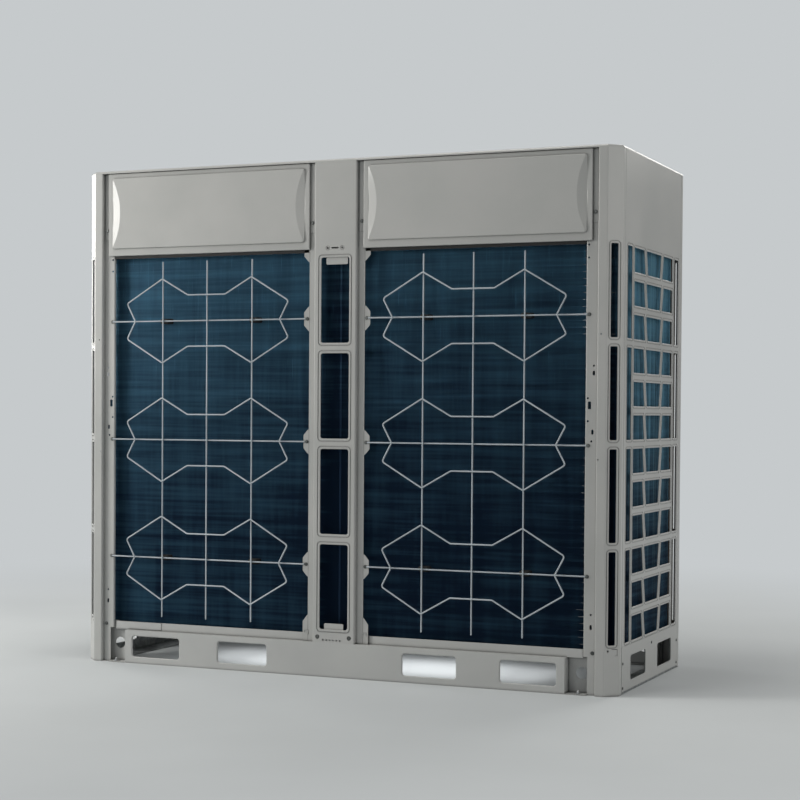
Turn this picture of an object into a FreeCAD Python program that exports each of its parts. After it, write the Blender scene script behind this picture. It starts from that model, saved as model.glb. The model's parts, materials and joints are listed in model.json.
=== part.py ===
import FreeCAD, Part
import math
import os
import re
import Sketcher
from FreeCAD import Placement, Rotation, Vector

# Outdoor unit of a variable refrigerant flow system: a wide cabinet with two upright fans,
# two coils that wrap the front and the ends, and the refrigerant circuit on a base pan.
# Millimetres. X runs along the wide face, the coil face looks along -Y, and Z is up.
# The origin is on the floor, below the middle of the cabinet.

SIZES = {
    # Cabinet, without the fan guards that stand on its cover
    "width": 1880,
    "depth": 780,
    "height": 1660,
    "corner_cut": 39,
    # Sheet thicknesses and gaps
    "skin": 1.5,
    "post_sheet": 2,
    "base_sheet": 2.5,
    "seam": 0.5,
    "clearance": 3,
    # Corner posts
    "front_lip": 29,
    "step_back": 15,
    "coil_flange": 40,
    "side_lip": 21,
    "side_return": 14,
    "coil_lip": 8,
    "foot_notch": 13,
    "foot_height": 116,
    # Tall slots in the posts and the side panels, one for each bay
    "bays": 4,
    "bay_pitch": 309.5,
    "slot_base": 153,
    "slot_height": 284,
    "slot_start": 9,
    "slot_run": 18.5,
    # Side panels
    "side_split": 145,
    "side_slot_margin": 28,
    "side_slot_width": 54,
    "side_slot_bar": 20,
    "lattice_outer": 115,
    "lattice_bar": 22,
    "lattice_lean": 17,
    "lattice_cell": 77,
    "rows_per_bay": 3,
    "panel_return": 12,
    # Base end panels and the openings that they share with the side members
    "end_lift": 8,
    "end_open_width": 172,
    "end_open_height": 76,
    "end_open_base": 34,
    "end_open_offset": 156,
    "end_open_shift": 8,
    "end_open_radius": 10,
    # Base rails
    "rail_height": 111,
    "rail_inset": 162,
    "rail_recess": 40,
    "rail_flange": 61,
    "fork_width": 188,
    "fork_height": 76,
    "fork_base": 19,
    "fork_radius": 12,
    "fork_outer": 660,
    "fork_inner": 332,
    "fork_collar": 12,
    "end_hole_inset": 119,
    "end_hole_height": 62,
    "end_hole_radius": 19,
    "anchor_inset": 125,
    "anchor_setback": 22,
    "anchor_radius": 7,
    "member_flange": 88,
    "cross_width": 50,
    "cross_height": 14,
    "cross_offset": 496,
    # Drain pan
    "pan_setback": 22,
    "pan_lip": 27,
    "pan_notch": 41.5,
    # Centre posts
    "centre_half": 74,
    "centre_flange": 24,
    "centre_open_half": 51,
    "centre_open_height": 276,
    "centre_open_base": 152.5,
    "centre_open_pitch": 306.5,
    "centre_open_radius": 9,
    "bump_reach": 19,
    "bump_half": 36,
    "bump_slope": 14,
    # Upper panels and rear service panels
    "panel_outer_inset": 88,
    "panel_inner": 95,
    "panel_base": 1374,
    "panel_top": 1650,
    "panel_setback": 4,
    "tab_width": 16,
    "tab_base": 1428,
    "emboss_side": 16,
    "emboss_low": 23,
    "emboss_high": 16,
    "emboss_lens": 33,
    "emboss_slope": 5,
    "service_base": 119,
    # Wire guards
    "wire_radius": 2.5,
    "wire_centre": 471,
    "wire_column": 168,
    "wire_low": 162,
    "wire_high": 1349.5,
    "wire_row": 359.5,
    "wire_row_pitch": 396.3,
    "wire_inner": 111,
    "wire_outer": 837,
    "pad_half": 18,
    "pad_rise": 9,
    # Mid beams, centre partition and motor rails
    "beam_base": 1366,
    "beam_height": 30,
    "beam_depth": 23,
    "rail_half_gap": 75,
    "rail_width": 30,
    "rail_rise": 25,
    # Coils
    "coil_setback": 47,
    "coil_depth": 44,
    "coil_inner": 2.5,
    "coil_radius": 100,
    "coil_rear": 262,
    "coil_base": 118,
    "coil_top": 1392,
    "header_radius": 11,
    "header_gap": 12,
    "stub_radius": 5,
    # Top cover and fan guards
    "cover_skirt": 8,
    "mouth_radius": 345,
    "mouth_wall": 3,
    "mouth_drop": 190,
    "mouth_lip": 12,
    "guard_rim": 6,
    "guard_rim_height": 3,
    "guard_rise": 22,
    "guard_boss": 58,
    "guard_bar": 4,
    "guard_bars": 24,
    # Fans
    "blade_tip_gap": 5,
    "blade_count": 4,
    "blade_chord": 290,
    "blade_sweep": 50,
    "blade_sheet": 4,
    "hub_radius": 90,
    "hub_height": 80,
    "shaft_radius": 8,
    "bore_gap": 0.1,
    "motor_radius": 76,
    "motor_height": 112,
    "motor_plate": 5,
    "hub_above_motor": 6,
    # Compressors and vessels
    "compressor_x": 380,
    "compressor_y": 130,
    "compressor_pitch": 240,
    "compressor_radius": 92,
    "compressor_height": 400,
    "compressor_foot": 200,
    "foot_plate": 4,
    "grommet_radius": 14,
    "grommet_height": 12,
    "vessel_x": 730,
    "vessel_radius": 80,
    "vessel_height": 520,
    "separator_x": 85,
    "separator_y": 165,
    "separator_radius": 52,
    "separator_height": 330,
    "dome": 26,
    # Refrigerant pipes and valves
    "pipe_radius": 11,
    "pipe_bend": 22,
    "suction_spread": 30,
    "suction_gap": 38,
    "suction_near": 690,
    "suction_far": 740,
    "suction_entry": 260,
    "discharge_spread": 13,
    "discharge_near": 600,
    "discharge_far": 650,
    "separator_outlet": 300,
    "slide_x": 140,
    "slide_y": 80,
    "slide_base": 836,
    "slide_radius": 24,
    "slide_half": 80,
    "port_near": 10,
    "port_middle": 20,
    "port_far": 50,
    "return_height": 930,
    "gas_line_height": 975,
    "cross_pipe_height": 700,
    "liquid_pipe_height": 200,
    "liquid_entry_height": 240,
    "pipe_hole_half": 14,
    "stop_x": 640,
    "stop_pitch": 60,
    "stop_radius": 16,
    "stop_base": 176,
    "stop_height": 88,
    "stop_cap": 8,
    # Control box
    "box_width": 430,
    "box_depth": 150,
    "box_height": 520,
    "box_base": 790,
    "box_rear_gap": 40,
    # Fasteners
    "screw_radius": 5.5,
    "screw_head": 2.5,
}

doc = FreeCAD.newDocument("outdoor_unit")
sheet = doc.addObject("Spreadsheet::Sheet", "Sizes")
for line, (alias, number) in enumerate(SIZES.items(), start=1):
    sheet.set(f"A{line}", alias)
    sheet.set(f"B{line}", str(number))
    sheet.setAlias(f"B{line}", alias)
doc.recompute()

parts = []

# Places that several pieces share
HALF_WIDTH = "width / 2"
HALF_DEPTH = "depth / 2"
STEP_X = "width / 2 - corner_cut - front_lip"
FLANGE_X = f"{STEP_X} - coil_flange"
FLANGE_Y = "depth / 2 - step_back"
BEAM_Y = f"{FLANGE_Y} - post_sheet"
SIDE_END = "depth / 2 - corner_cut - side_lip"
TOP_EDGE = "height - cover_skirt - seam"
COVER_UNDER = "height - skin"
RAIL_END = f"{STEP_X} - post_sheet"
RAIL_BACK = "depth / 2 - rail_flange"
PAN_FLOOR = "rail_height + skin"
COIL_FACE = "depth / 2 - coil_setback"
COIL_SIDE = "width / 2 - side_return - clearance"
FAN_X = "width / 4"
ROW_Y = f"{FLANGE_Y} + wire_radius"
UPRIGHT_Y = f"{ROW_Y} + 2 * wire_radius"
LOOP_Y = f"{UPRIGHT_Y} + 2 * wire_radius"
HEADER_Y = "coil_rear + skin + header_gap"
CROSS_PIPE_Y = f"{HEADER_Y} + header_radius + pipe_bend + pipe_radius"
LIQUID_PIPE_Y = f"{HEADER_Y} + 2 * pipe_bend + 3 * pipe_radius / 4"
GAS_HEADER_X = f"{COIL_SIDE} - coil_depth / 4"
LIQUID_HEADER_X = f"{COIL_SIDE} - 3 * coil_depth / 4"
MOTOR_BASE = "beam_base + beam_height + rail_rise"
MOTOR_TOP = f"{MOTOR_BASE} + motor_plate + motor_height"
HUB_BASE = f"{MOTOR_TOP} + hub_above_motor"

# Blade angle in degrees, and the rise of a blade's middle as a share of its chord
BLADE_PITCH = 24
BLADE_CAMBER = 0.06

# Flat strips that stand for a round vessel's wall, and for a round pipe's
VESSEL_FLATS = 20
PIPE_FLATS = 8

# Flats round a fan's mouth, and round its tips and hub
MOUTH_FLATS = 40
TIP_FLATS = 24


# Turns that lay an upright bar along another axis
TURNS = {"z": Rotation(), "y": Rotation(Vector(1, 0, 0), -90), "x": Rotation(Vector(0, 1, 0), 90)}


def ref(text):
    """Turn bare size names into references to the sheet."""
    return re.sub(r"[a-z_]+", lambda word: f"Sizes.{word[0]}" if word[0] in SIZES else word[0], text)


def value(text):
    return sheet.evalExpression(ref(text))


def mirrored(side, text):
    return text if side > 0 else f"-({text})"


def span(side, low, high):
    """The stretch from low to high on the positive side, or its mirror image, lowest end first."""
    return (low, high) if side > 0 else (f"-({high})", f"-({low})")


def keep(thing, label):
    """Give a finished piece the name of its node and list it for writing."""
    thing.Label = label
    parts.append(thing)
    return thing


def new_body(label):
    return keep(doc.addObject("PartDesign::Body", label), label)


def drawing(body, name, plane, level):
    """An empty sketch on one of the body's own planes, moved along the plane's axis to level."""
    sketch = body.newObject("Sketcher::SketchObject", name)
    origin_plane = next(item for item in body.Origin.OriginFeatures if item.Role == f"{plane}_Plane")
    sketch.AttachmentSupport = [(origin_plane, "")]
    sketch.MapMode = "FlatFace"
    # The XZ plane looks along -Y, so a level there counts backwards
    sketch.setExpression("AttachmentOffset.Base.z", ref(f"-({level})" if plane == "XZ" else level))
    return sketch


def eased(corner, here, there):
    """The point of a rounded corner where its arc meets the edge towards a neighbour."""
    x, y, radius = corner
    across, along = there[0] - here[0], there[1] - here[1]
    if abs(across) > abs(along):
        return (f"({x}) {'+' if across > 0 else '-'} ({radius})", y)
    return (x, f"({y}) {'+' if along > 0 else '-'} ({radius})")


def outline(sketch, corners):
    """Draw a closed loop. A corner is (x, y), or (x, y, radius) between two square edges."""
    spots = [(value(corner[0]), value(corner[1])) for corner in corners]
    count = len(corners)
    arrive, leave = [], []
    for i, corner in enumerate(corners):
        rounded = len(corner) == 3
        arrive.append(eased(corner, spots[i], spots[i - 1]) if rounded else corner)
        leave.append(eased(corner, spots[i], spots[(i + 1) % count]) if rounded else corner)
    start = [Vector(value(x), value(y), 0) for x, y in leave]
    stop = [Vector(value(x), value(y), 0) for x, y in arrive]
    first = sketch.GeometryCount
    sketch.addGeometry([Part.LineSegment(start[i], stop[(i + 1) % count]) for i in range(count)], False)
    rules, pins = [], []
    for i, corner in enumerate(corners):
        before, after = first + (i - 1) % count, first + i
        pins.append((after, 1, leave[i]))
        if len(corner) == 2:
            rules.append(Sketcher.Constraint("Coincident", before, 2, after, 1))
            continue
        pins.append((before, 2, arrive[i]))
        level = abs(stop[i].y - spots[i][1]) < abs(stop[i].x - spots[i][0])
        middle = Vector(stop[i].x, start[i].y, 0) if level else Vector(start[i].x, stop[i].y, 0)
        left_turn = (spots[i][0] - stop[i].x) * (start[i].y - stop[i].y) > (
            spots[i][1] - stop[i].y) * (start[i].x - stop[i].x)
        begin, finish = (stop[i], start[i]) if left_turn else (start[i], stop[i])
        angles = [math.atan2(point.y - middle.y, point.x - middle.x) for point in (begin, finish)]
        circle = Part.Circle(middle, Vector(0, 0, 1), value(corner[2]))
        arc = sketch.addGeometry(Part.ArcOfCircle(circle, angles[0], angles[1]), False)
        rules.append(Sketcher.Constraint("Tangent", before, 2, arc, 1 if left_turn else 2))
        rules.append(Sketcher.Constraint("Coincident", arc, 2 if left_turn else 1, after, 1))
    sketch.addConstraint(rules)
    for edge, end, place in pins:
        pin(sketch, edge, end, place)


def pin(sketch, edge, end, place):
    """Hold a point at a distance across and a distance up from the sketch's origin."""
    for kind, text in zip(("DistanceX", "DistanceY"), place):
        index = sketch.addConstraint(Sketcher.Constraint(kind, -1, 1, edge, end, value(text)))
        sketch.setExpression(f"Constraints[{index}]", ref(text))


def disc(sketch, x, y, radius):
    circle = Part.Circle(Vector(value(x), value(y), 0), Vector(0, 0, 1), value(radius))
    edge = sketch.addGeometry(circle, False)
    pin(sketch, edge, 3, (x, y))
    index = sketch.addConstraint(Sketcher.Constraint("Radius", edge, value(radius)))
    sketch.setExpression(f"Constraints[{index}]", ref(radius))


def window(x, y, radius):
    """Corners of an opening from its two spans, each corner rounded by two chords."""
    inset = f"({radius}) * (1 - cos(45))"
    corners = []
    for right, upper in ((0, 0), (1, 0), (1, 1), (0, 1)):
        across, up = "-" if right else "+", "-" if upper else "+"
        steps = [(radius, "0"), (inset, inset), ("0", radius)]
        if right == upper:
            steps.reverse()
        corners += [(f"{x[right]} {across} {dx}", f"{y[upper]} {up} {dy}") for dx, dy in steps]
    return corners


def regular(sides, x, y, radius):
    """Corners of a regular outline with the given number of sides, about a centre."""
    turns = [360 * i / sides for i in range(sides)]
    return [(f"{x} + ({radius}) * cos({turn})", f"{y} + ({radius}) * sin({turn})") for turn in turns]


def plate(x, y):
    """Corners of a square-cornered plate, from its two spans."""
    return [(x[0], y[0]), (x[1], y[0]), (x[1], y[1]), (x[0], y[1])]


def folded(path, thickness):
    """Corners of a bent sheet's section. Each fold is (x, y, inward x, inward y) in thicknesses."""
    outer = [(x, y) for x, y, _, _ in path]
    inner = [(f"{x} + {across} * {thickness}", f"{y} + {up} * {thickness}") for x, y, across, up in path]
    return outer + inner[::-1]


def add(body, name, plane, reach, loops, circles=()):
    """Pad loops over the stretch reach along the axis that crosses the plane."""
    low, high = reach
    sketch = drawing(body, name, plane, high if plane == "XZ" else low)
    return extrude(body, sketch, "PartDesign::Pad", reach, loops, circles)


def cut(body, name, plane, reach, loops, circles=()):
    """Pocket loops over the stretch reach along the axis that crosses the plane."""
    low, high = reach
    sketch = drawing(body, name, plane, low if plane == "XZ" else high)
    return extrude(body, sketch, "PartDesign::Pocket", reach, loops, circles)


def extrude(body, sketch, kind, reach, loops, circles):
    for loop in loops:
        outline(sketch, loop)
    for circle in circles:
        disc(sketch, *circle)
    feature = body.newObject(kind, f"{sketch.Name}_step")
    feature.Profile = sketch
    feature.Refine = False
    feature.setExpression("Length", ref(f"({reach[1]}) - ({reach[0]})"))
    sketch.Visibility = False
    return feature


def repeat(body, feature, pitch, count, sketch=None):
    """Copy a feature upwards at a pitch, along the upright axis of its sketch."""
    pattern = body.newObject("PartDesign::LinearPattern", f"{feature.Name}_row")
    pattern.Originals = [feature]
    pattern.Direction = (sketch or feature.Profile[0], ["V_Axis"])
    pattern.Mode = "Spacing"
    pattern.setExpression("Offset", ref(pitch))
    pattern.setExpression("Occurrences", ref(count))
    pattern.Refine = False
    body.Tip = pattern
    return pattern


def ring_of(body, features, count):
    """Copy features about the body's upright axis."""
    axis = next(item for item in body.Origin.OriginFeatures if item.Role == "Z_Axis")
    pattern = body.newObject("PartDesign::PolarPattern", f"{features[0].Name}_ring")
    pattern.Originals = features
    pattern.Axis = (axis, [""])
    pattern.Angle = 360
    pattern.setExpression("Occurrences", ref(count))
    pattern.Refine = False
    body.Tip = pattern
    return pattern


def turned(body, name, loops):
    """Revolve loops of (radius, height) about the body's upright axis."""
    sketch = drawing(body, name, "XZ", "0")
    for loop in loops:
        outline(sketch, loop)
    feature = body.newObject("PartDesign::Revolution", f"{name}_step")
    feature.Profile = sketch
    feature.ReferenceAxis = (sketch, ["V_Axis"])
    feature.Angle = 360
    feature.Refine = False
    return feature


def bevelled(body, feature, size, way):
    """Chamfer every edge of the feature's face that looks and lies furthest along way."""
    feature.recompute(True)
    faces = feature.Shape.Faces
    flat = [i for i in range(len(faces)) if faces[i].normalAt(0, 0).dot(way) > 0.999]
    furthest = max(flat, key=lambda i: faces[i].CenterOfMass.dot(way))
    chamfer = body.newObject("PartDesign::Chamfer", f"{feature.Name}_bevel")
    chamfer.Base = (feature, [f"Face{furthest + 1}"])
    chamfer.setExpression("Size", ref(size))
    return chamfer


def block(name, x, y, z):
    """A rectangular solid from its spans along the three axes."""
    solid = doc.addObject("Part::Box", name)
    for size, corner, (low, high) in zip(("Length", "Width", "Height"), "xyz", (x, y, z)):
        solid.setExpression(size, ref(f"({high}) - ({low})"))
        solid.setExpression(f"Placement.Base.{corner}", ref(low))
    return solid


def rod(name, centre, radius, length, along="z"):
    """A round bar that starts at centre and runs along an axis."""
    solid = doc.addObject("Part::Cylinder", name)
    solid.Placement = Placement(Vector(), TURNS[along])
    solid.setExpression("Radius", ref(radius))
    return placed(solid, centre, length)


def prism(name, sides, centre, radius, length, along="z"):
    """A bar with a regular many-sided section that starts at centre and runs along an axis."""
    solid = doc.addObject("Part::Prism", name)
    solid.Polygon = sides
    solid.Placement = Placement(Vector(), TURNS[along])
    solid.setExpression("Circumradius", ref(radius))
    return placed(solid, centre, length)


def placed(solid, centre, length):
    solid.setExpression("Height", ref(length))
    for corner, text in zip("xyz", centre):
        solid.setExpression(f"Placement.Base.{corner}", ref(text))
    return solid


def joined(name, solids):
    whole = doc.addObject("Part::MultiFuse", name)
    whole.Shapes = solids
    return whole


def group(label, solids):
    """Identical or paired pieces that share one node as separate solids."""
    whole = doc.addObject("Part::Compound", label)
    whole.Links = solids
    return keep(whole, label)


def stand_at(body, x, y, z):
    for corner, text in zip("xyz", (x, y, z)):
        body.setExpression(f"Placement.Base.{corner}", ref(text))


# Base


def base_rail(label, front):
    """Rail with fork openings; its face is set back at both ends to clear the anchor bolts."""
    body = new_body(label)
    face, recess = mirrored(front, HALF_DEPTH), mirrored(front, "depth / 2 - rail_recess")
    face_back = mirrored(front, "depth / 2 - base_sheet")
    recess_back = mirrored(front, "depth / 2 - rail_recess - base_sheet")
    ear = mirrored(front, BEAM_Y)
    inset = "width / 2 - rail_inset"
    half = [(RAIL_END, ear, -1, 0), (RAIL_END, recess_back, -1, front),
            (f"{inset} - base_sheet", recess_back, 1, front), (f"{inset} - base_sheet", face_back, 1, front)]
    path = half + [(f"-({x})", y, -across, up) for x, y, across, up in half[::-1]]
    add(body, f"{label}_wall", "XY", ("0", "rail_height"), [folded(path, "base_sheet")])
    back = mirrored(front, RAIL_BACK)
    ledge = mirrored(front, f"{BEAM_Y} - seam")
    toe = f"{FLANGE_X} + foot_notch - seam"
    floor = [("-(" + toe + ")", face), (toe, face), (toe, ledge), (RAIL_END, ledge), (RAIL_END, back),
             (f"-({RAIL_END})", back), (f"-({RAIL_END})", ledge), (f"-({toe})", ledge)]
    add(body, f"{label}_floor", "XY", ("0", "base_sheet"), [floor])
    shelf = [(f"-({inset})", face), (inset, face), (inset, recess), (RAIL_END, recess), (RAIL_END, back),
             (f"-({RAIL_END})", back), (f"-({RAIL_END})", recess), (f"-({inset})", recess)]
    add(body, f"{label}_shelf", "XY", ("rail_height - base_sheet", "rail_height"), [shelf])
    centres = ("fork_outer", "fork_inner", "-fork_inner", "-fork_outer")
    rise = ("fork_base", "fork_base + fork_height")
    rim = ("fork_base - base_sheet", "fork_base + fork_height + base_sheet")
    collars = [plate((f"{x} - fork_width / 2 - base_sheet", f"{x} + fork_width / 2 + base_sheet"), rim)
               for x in centres]
    holes = [window((f"{x} - fork_width / 2", f"{x} + fork_width / 2"), rise, "fork_radius") for x in centres]
    depth = span(front, "depth / 2 - fork_collar", "depth / 2")
    add(body, f"{label}_collars", "XZ", depth, collars)
    cut(body, f"{label}_forks", "XZ", depth, holes)
    ends = [regular(16, mirrored(side, "width / 2 - end_hole_inset"), "end_hole_height", "end_hole_radius")
            for side in (-1, 1)]
    wall = span(front, "depth / 2 - rail_recess - base_sheet", "depth / 2 - rail_recess")
    cut(body, f"{label}_end_holes", "XZ", wall, ends)
    anchors = [(mirrored(side, "width / 2 - anchor_inset"), mirrored(front, "depth / 2 - anchor_setback"),
                "anchor_radius") for side in (-1, 1)]
    cut(body, f"{label}_anchors", "XY", ("0", "base_sheet"), [], anchors)


def end_openings():
    """Corners of the two rounded openings low in each end of the cabinet, as (y, z)."""
    centres = ("end_open_shift - end_open_offset", "end_open_shift + end_open_offset")
    return [window((f"{y} - end_open_width / 2", f"{y} + end_open_width / 2"),
                   ("end_open_base", "end_open_base + end_open_height"), "end_open_radius") for y in centres]


def side_member(label, side):
    """Channel that closes the base frame at one end, behind the base end panel."""
    body = new_body(label)
    outer = mirrored(side, "width / 2 - skin")
    toe = mirrored(side, "width / 2 - skin - member_flange")
    path = [(toe, "0", 0, 1), (outer, "0", -side, 1), (outer, "rail_height", -side, -1),
            (toe, "rail_height", 0, -1)]
    reach = (f"-({RAIL_BACK})", RAIL_BACK)
    add(body, f"{label}_channel", "XZ", reach, [folded(path, "base_sheet")])
    wall = span(side, "width / 2 - skin - base_sheet", "width / 2 - skin")
    cut(body, f"{label}_openings", "YZ", wall, end_openings())


def base_end_panel(label, side):
    body = new_body(label)
    wide = (f"-({SIDE_END} - seam)", f"{SIDE_END} - seam")
    thick = span(side, "width / 2 - skin", "width / 2")
    add(body, f"{label}_sheet", "YZ", thick, [plate(wide, ("end_lift", "side_split - seam"))])
    cut(body, f"{label}_openings", "YZ", thick, end_openings())


def cross_members(label):
    """Three shallow channels that run from rail to rail under the pan, above the fork tunnels."""
    channels = []
    base = "rail_height - cross_height"
    for name, x in (("left", "-cross_offset"), ("middle", "0"), ("right", "cross_offset")):
        body = doc.addObject("PartDesign::Body", f"cross_{name}")
        low, high = f"{x} - cross_width / 2", f"{x} + cross_width / 2"
        path = [(high, base, 0, 1), (low, base, 1, 1), (low, "rail_height", 1, -1),
                (high, "rail_height", 0, -1)]
        add(body, f"cross_{name}_channel", "XZ", (f"-({RAIL_BACK})", RAIL_BACK), [folded(path, "base_sheet")])
        channels.append(body)
    group(label, channels)


def pan_outline(inset):
    """Corners of the drain pan, notched where the posts stand, moved inwards by inset."""
    front, notch = f"depth / 2 - pan_setback - {inset}", f"depth / 2 - pan_notch - {inset}"
    end, side = f"{FLANGE_X} - clearance - {inset}", f"width / 2 - side_return - seam - {inset}"
    quarter = [(end, front), (end, notch), (side, notch)]
    right = [(x, f"-({y})") for x, y in quarter] + quarter[::-1]
    return right + [(f"-({x})", y) for x, y in right[::-1]]


def drain_pan(label):
    body = new_body(label)
    add(body, f"{label}_outer", "XY", ("rail_height", "rail_height + pan_lip"), [pan_outline("0")])
    cut(body, f"{label}_hollow", "XY", (PAN_FLOOR, "rail_height + pan_lip"), [pan_outline("skin")])


# Posts


def corner_post(label, side, front):
    """Folded post: coil flange and lip, step, front lip, chamfer with slots, side lip and return."""
    body = new_body(label)
    miter = "tan(22.5)"
    path = [
        (FLANGE_X, f"{FLANGE_Y} - coil_lip", "1", "0"),
        (FLANGE_X, FLANGE_Y, "1", "-1"),
        (STEP_X, FLANGE_Y, "1", "-1"),
        (STEP_X, HALF_DEPTH, "1", "-1"),
        ("width / 2 - corner_cut", HALF_DEPTH, f"-{miter}", "-1"),
        (HALF_WIDTH, "depth / 2 - corner_cut", "-1", f"-{miter}"),
        (HALF_WIDTH, SIDE_END, "-1", "1"),
        ("width / 2 - side_return", SIDE_END, "0", "1"),
    ]
    section = [(mirrored(side, x), mirrored(front, y)) for x, y in folded(path, "post_sheet")]
    add(body, f"{label}_section", "XY", ("0", TOP_EDGE), [section])
    low = "width / 2 - corner_cut + slot_start"
    slot_x = span(side, low, f"{low} + slot_run")
    slot_y = span(front, "depth / 2 - corner_cut - clearance", HALF_DEPTH)
    slot = cut(body, f"{label}_slot", "XZ", slot_y, [plate(slot_x, ("slot_base", "slot_base + slot_height"))])
    repeat(body, slot, "bay_pitch", "bays")
    notch_x = span(side, FLANGE_X, f"{FLANGE_X} + foot_notch")
    notch_y = span(front, "depth / 2 - rail_recess", FLANGE_Y)
    cut(body, f"{label}_notch", "XZ", notch_y, [plate(notch_x, ("0", "foot_height"))])


def centre_post(label, front, windows):
    """Hat section between the two coils; the front one is pierced and has bumps for the wires."""
    body = new_body(label)
    face, flange = mirrored(front, HALF_DEPTH), mirrored(front, FLANGE_Y)
    half = [("centre_half + centre_flange", flange, 0, -front), ("centre_half", flange, -1, -front),
            ("centre_half", face, -1, -front)]
    path = half + [(f"-({x})", y, -across, up) for x, y, across, up in half[::-1]]
    add(body, f"{label}_section", "XY", ("rail_height", TOP_EDGE), [folded(path, "post_sheet")])
    if not windows:
        return
    wall = span(front, "depth / 2 - post_sheet", HALF_DEPTH)
    opening = window(("-centre_open_half", "centre_open_half"),
                     ("centre_open_base", "centre_open_base + centre_open_height"), "centre_open_radius")
    hole = cut(body, f"{label}_window", "XZ", wall, [opening])
    repeat(body, hole, "centre_open_pitch", "bays")
    edge, tip = "centre_half + centre_flange", "centre_half + centre_flange + bump_reach"
    bumps = []
    for side in (-1, 1):
        corners = [(edge, "wire_row - bump_half"), (tip, "wire_row - bump_half + bump_slope"),
                   (tip, "wire_row + bump_half - bump_slope"), (edge, "wire_row + bump_half")]
        bumps.append([(mirrored(side, x), z) for x, z in corners])
    sheet_span = span(front, f"{FLANGE_Y} - post_sheet", FLANGE_Y)
    bump = add(body, f"{label}_bump", "XZ", sheet_span, bumps)
    repeat(body, bump, "wire_row_pitch", "3")


# Panels


def side_panel(label, side):
    """Tray with a solid top, a lattice of tapered cells and a tall slot at both ends of each bay."""
    body = new_body(label)
    half = f"{SIDE_END} - seam"
    tall = ("side_split", TOP_EDGE)
    add(body, f"{label}_tray", "YZ", span(side, "width / 2 - panel_return", HALF_WIDTH),
        [plate((f"-({half})", half), tall)])
    inside = plate((f"-({half} - skin)", f"{half} - skin"), ("side_split + skin", f"{TOP_EDGE} - skin"))
    cut(body, f"{label}_hollow", "YZ", span(side, "width / 2 - panel_return", "width / 2 - skin"), [inside])
    wall = span(side, "width / 2 - skin", HALF_WIDTH)
    slot_out = f"{SIDE_END} - side_slot_margin"
    slot_in = f"{slot_out} - side_slot_width"
    rise = ("slot_base", "slot_base + slot_height")
    slots = [plate(span(end, slot_in, slot_out), rise) for end in (-1, 1)]
    slot = cut(body, f"{label}_slots", "YZ", wall, slots)
    repeat(body, slot, "bay_pitch", "bays")
    edge = f"{slot_in} - side_slot_bar"
    bar_top = f"{edge} - lattice_outer"
    bar_low = f"{bar_top} - lattice_lean"
    top = "slot_base + lattice_cell"
    cells = []
    for end in (-1, 1):
        corners = [(edge, "slot_base"), (edge, top), (bar_top, top), (bar_low, "slot_base")]
        cells.append([(mirrored(end, y), z) for y, z in corners])
    middle = [(f"-({bar_low} - lattice_bar)", "slot_base"), (f"{bar_low} - lattice_bar", "slot_base"),
              (f"{bar_top} - lattice_bar", top), (f"-({bar_top} - lattice_bar)", top)]
    row = cut(body, f"{label}_cells", "YZ", wall, cells + [middle])
    repeat(body, row, "bay_pitch / rows_per_bay", "bays * rows_per_bay")


def plateau_spans(sides, rise):
    return ((f"{sides[0]} + emboss_side", f"{sides[1]} - emboss_side"),
            (f"{rise[0]} + emboss_low", f"{rise[1]} - emboss_high"))


def raised(body, name, sides, rise):
    """Plain plateau with a bevel all round on a rear panel."""
    x, z = plateau_spans(sides, rise)
    base = "depth / 2 - panel_setback"
    step = add(body, name, "XZ", (base, HALF_DEPTH), [plate(x, z)])
    bevelled(body, step, "panel_setback - skin", Vector(0, 1, 0))
    inner = [(f"{low} + emboss_slope", f"{high} - emboss_slope") for low, high in (x, z)]
    cut(body, f"{name}_relief", "XZ", (f"{base} - skin", "depth / 2 - skin"), [plate(*inner)])


def embossed(body, name, sides, rise):
    """Plateau on a front panel: its face bows inwards at both ends and leaves lens-shaped bevels."""
    x, z = plateau_spans(sides, rise)
    base = "-(depth / 2 - panel_setback)"
    foot = drawing(body, f"{name}_foot", "XZ", base)
    outline(foot, bowed(x, z, "0"))
    crown = drawing(body, f"{name}_crown", "XZ", f"-({HALF_DEPTH})")
    inner = [(f"{low} + emboss_slope", f"{high} - emboss_slope") for low, high in (x, z)]
    outline(crown, bowed(*inner, "emboss_lens - emboss_slope"))
    loft = body.newObject("PartDesign::AdditiveLoft", name)
    loft.Profile = foot
    loft.Sections = [crown]
    loft.Ruled = True
    loft.Refine = False
    hollow = plate((f"{x[0]} + emboss_lens", f"{x[1]} - emboss_lens"), inner[1])
    cut(body, f"{name}_relief", "XZ", ("-(depth / 2 - skin)", f"{base} + skin"), [hollow])


def bowed(x, z, bow):
    """Corners of a plate whose two ends bow inwards by bow at mid-height, in short chords."""
    share = [(0, 0), (0.3, 0.84), (0.7, 0.84), (1, 0)]
    right = [(f"{x[1]} - {depth} * ({bow})", f"{z[0]} + {part} * ({z[1]} - ({z[0]}))")
             for part, depth in share]
    left = [(f"{x[0]} + {depth} * ({bow})", f"{z[0]} + {part} * ({z[1]} - ({z[0]}))")
            for part, depth in share[::-1]]
    return right + left


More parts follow.
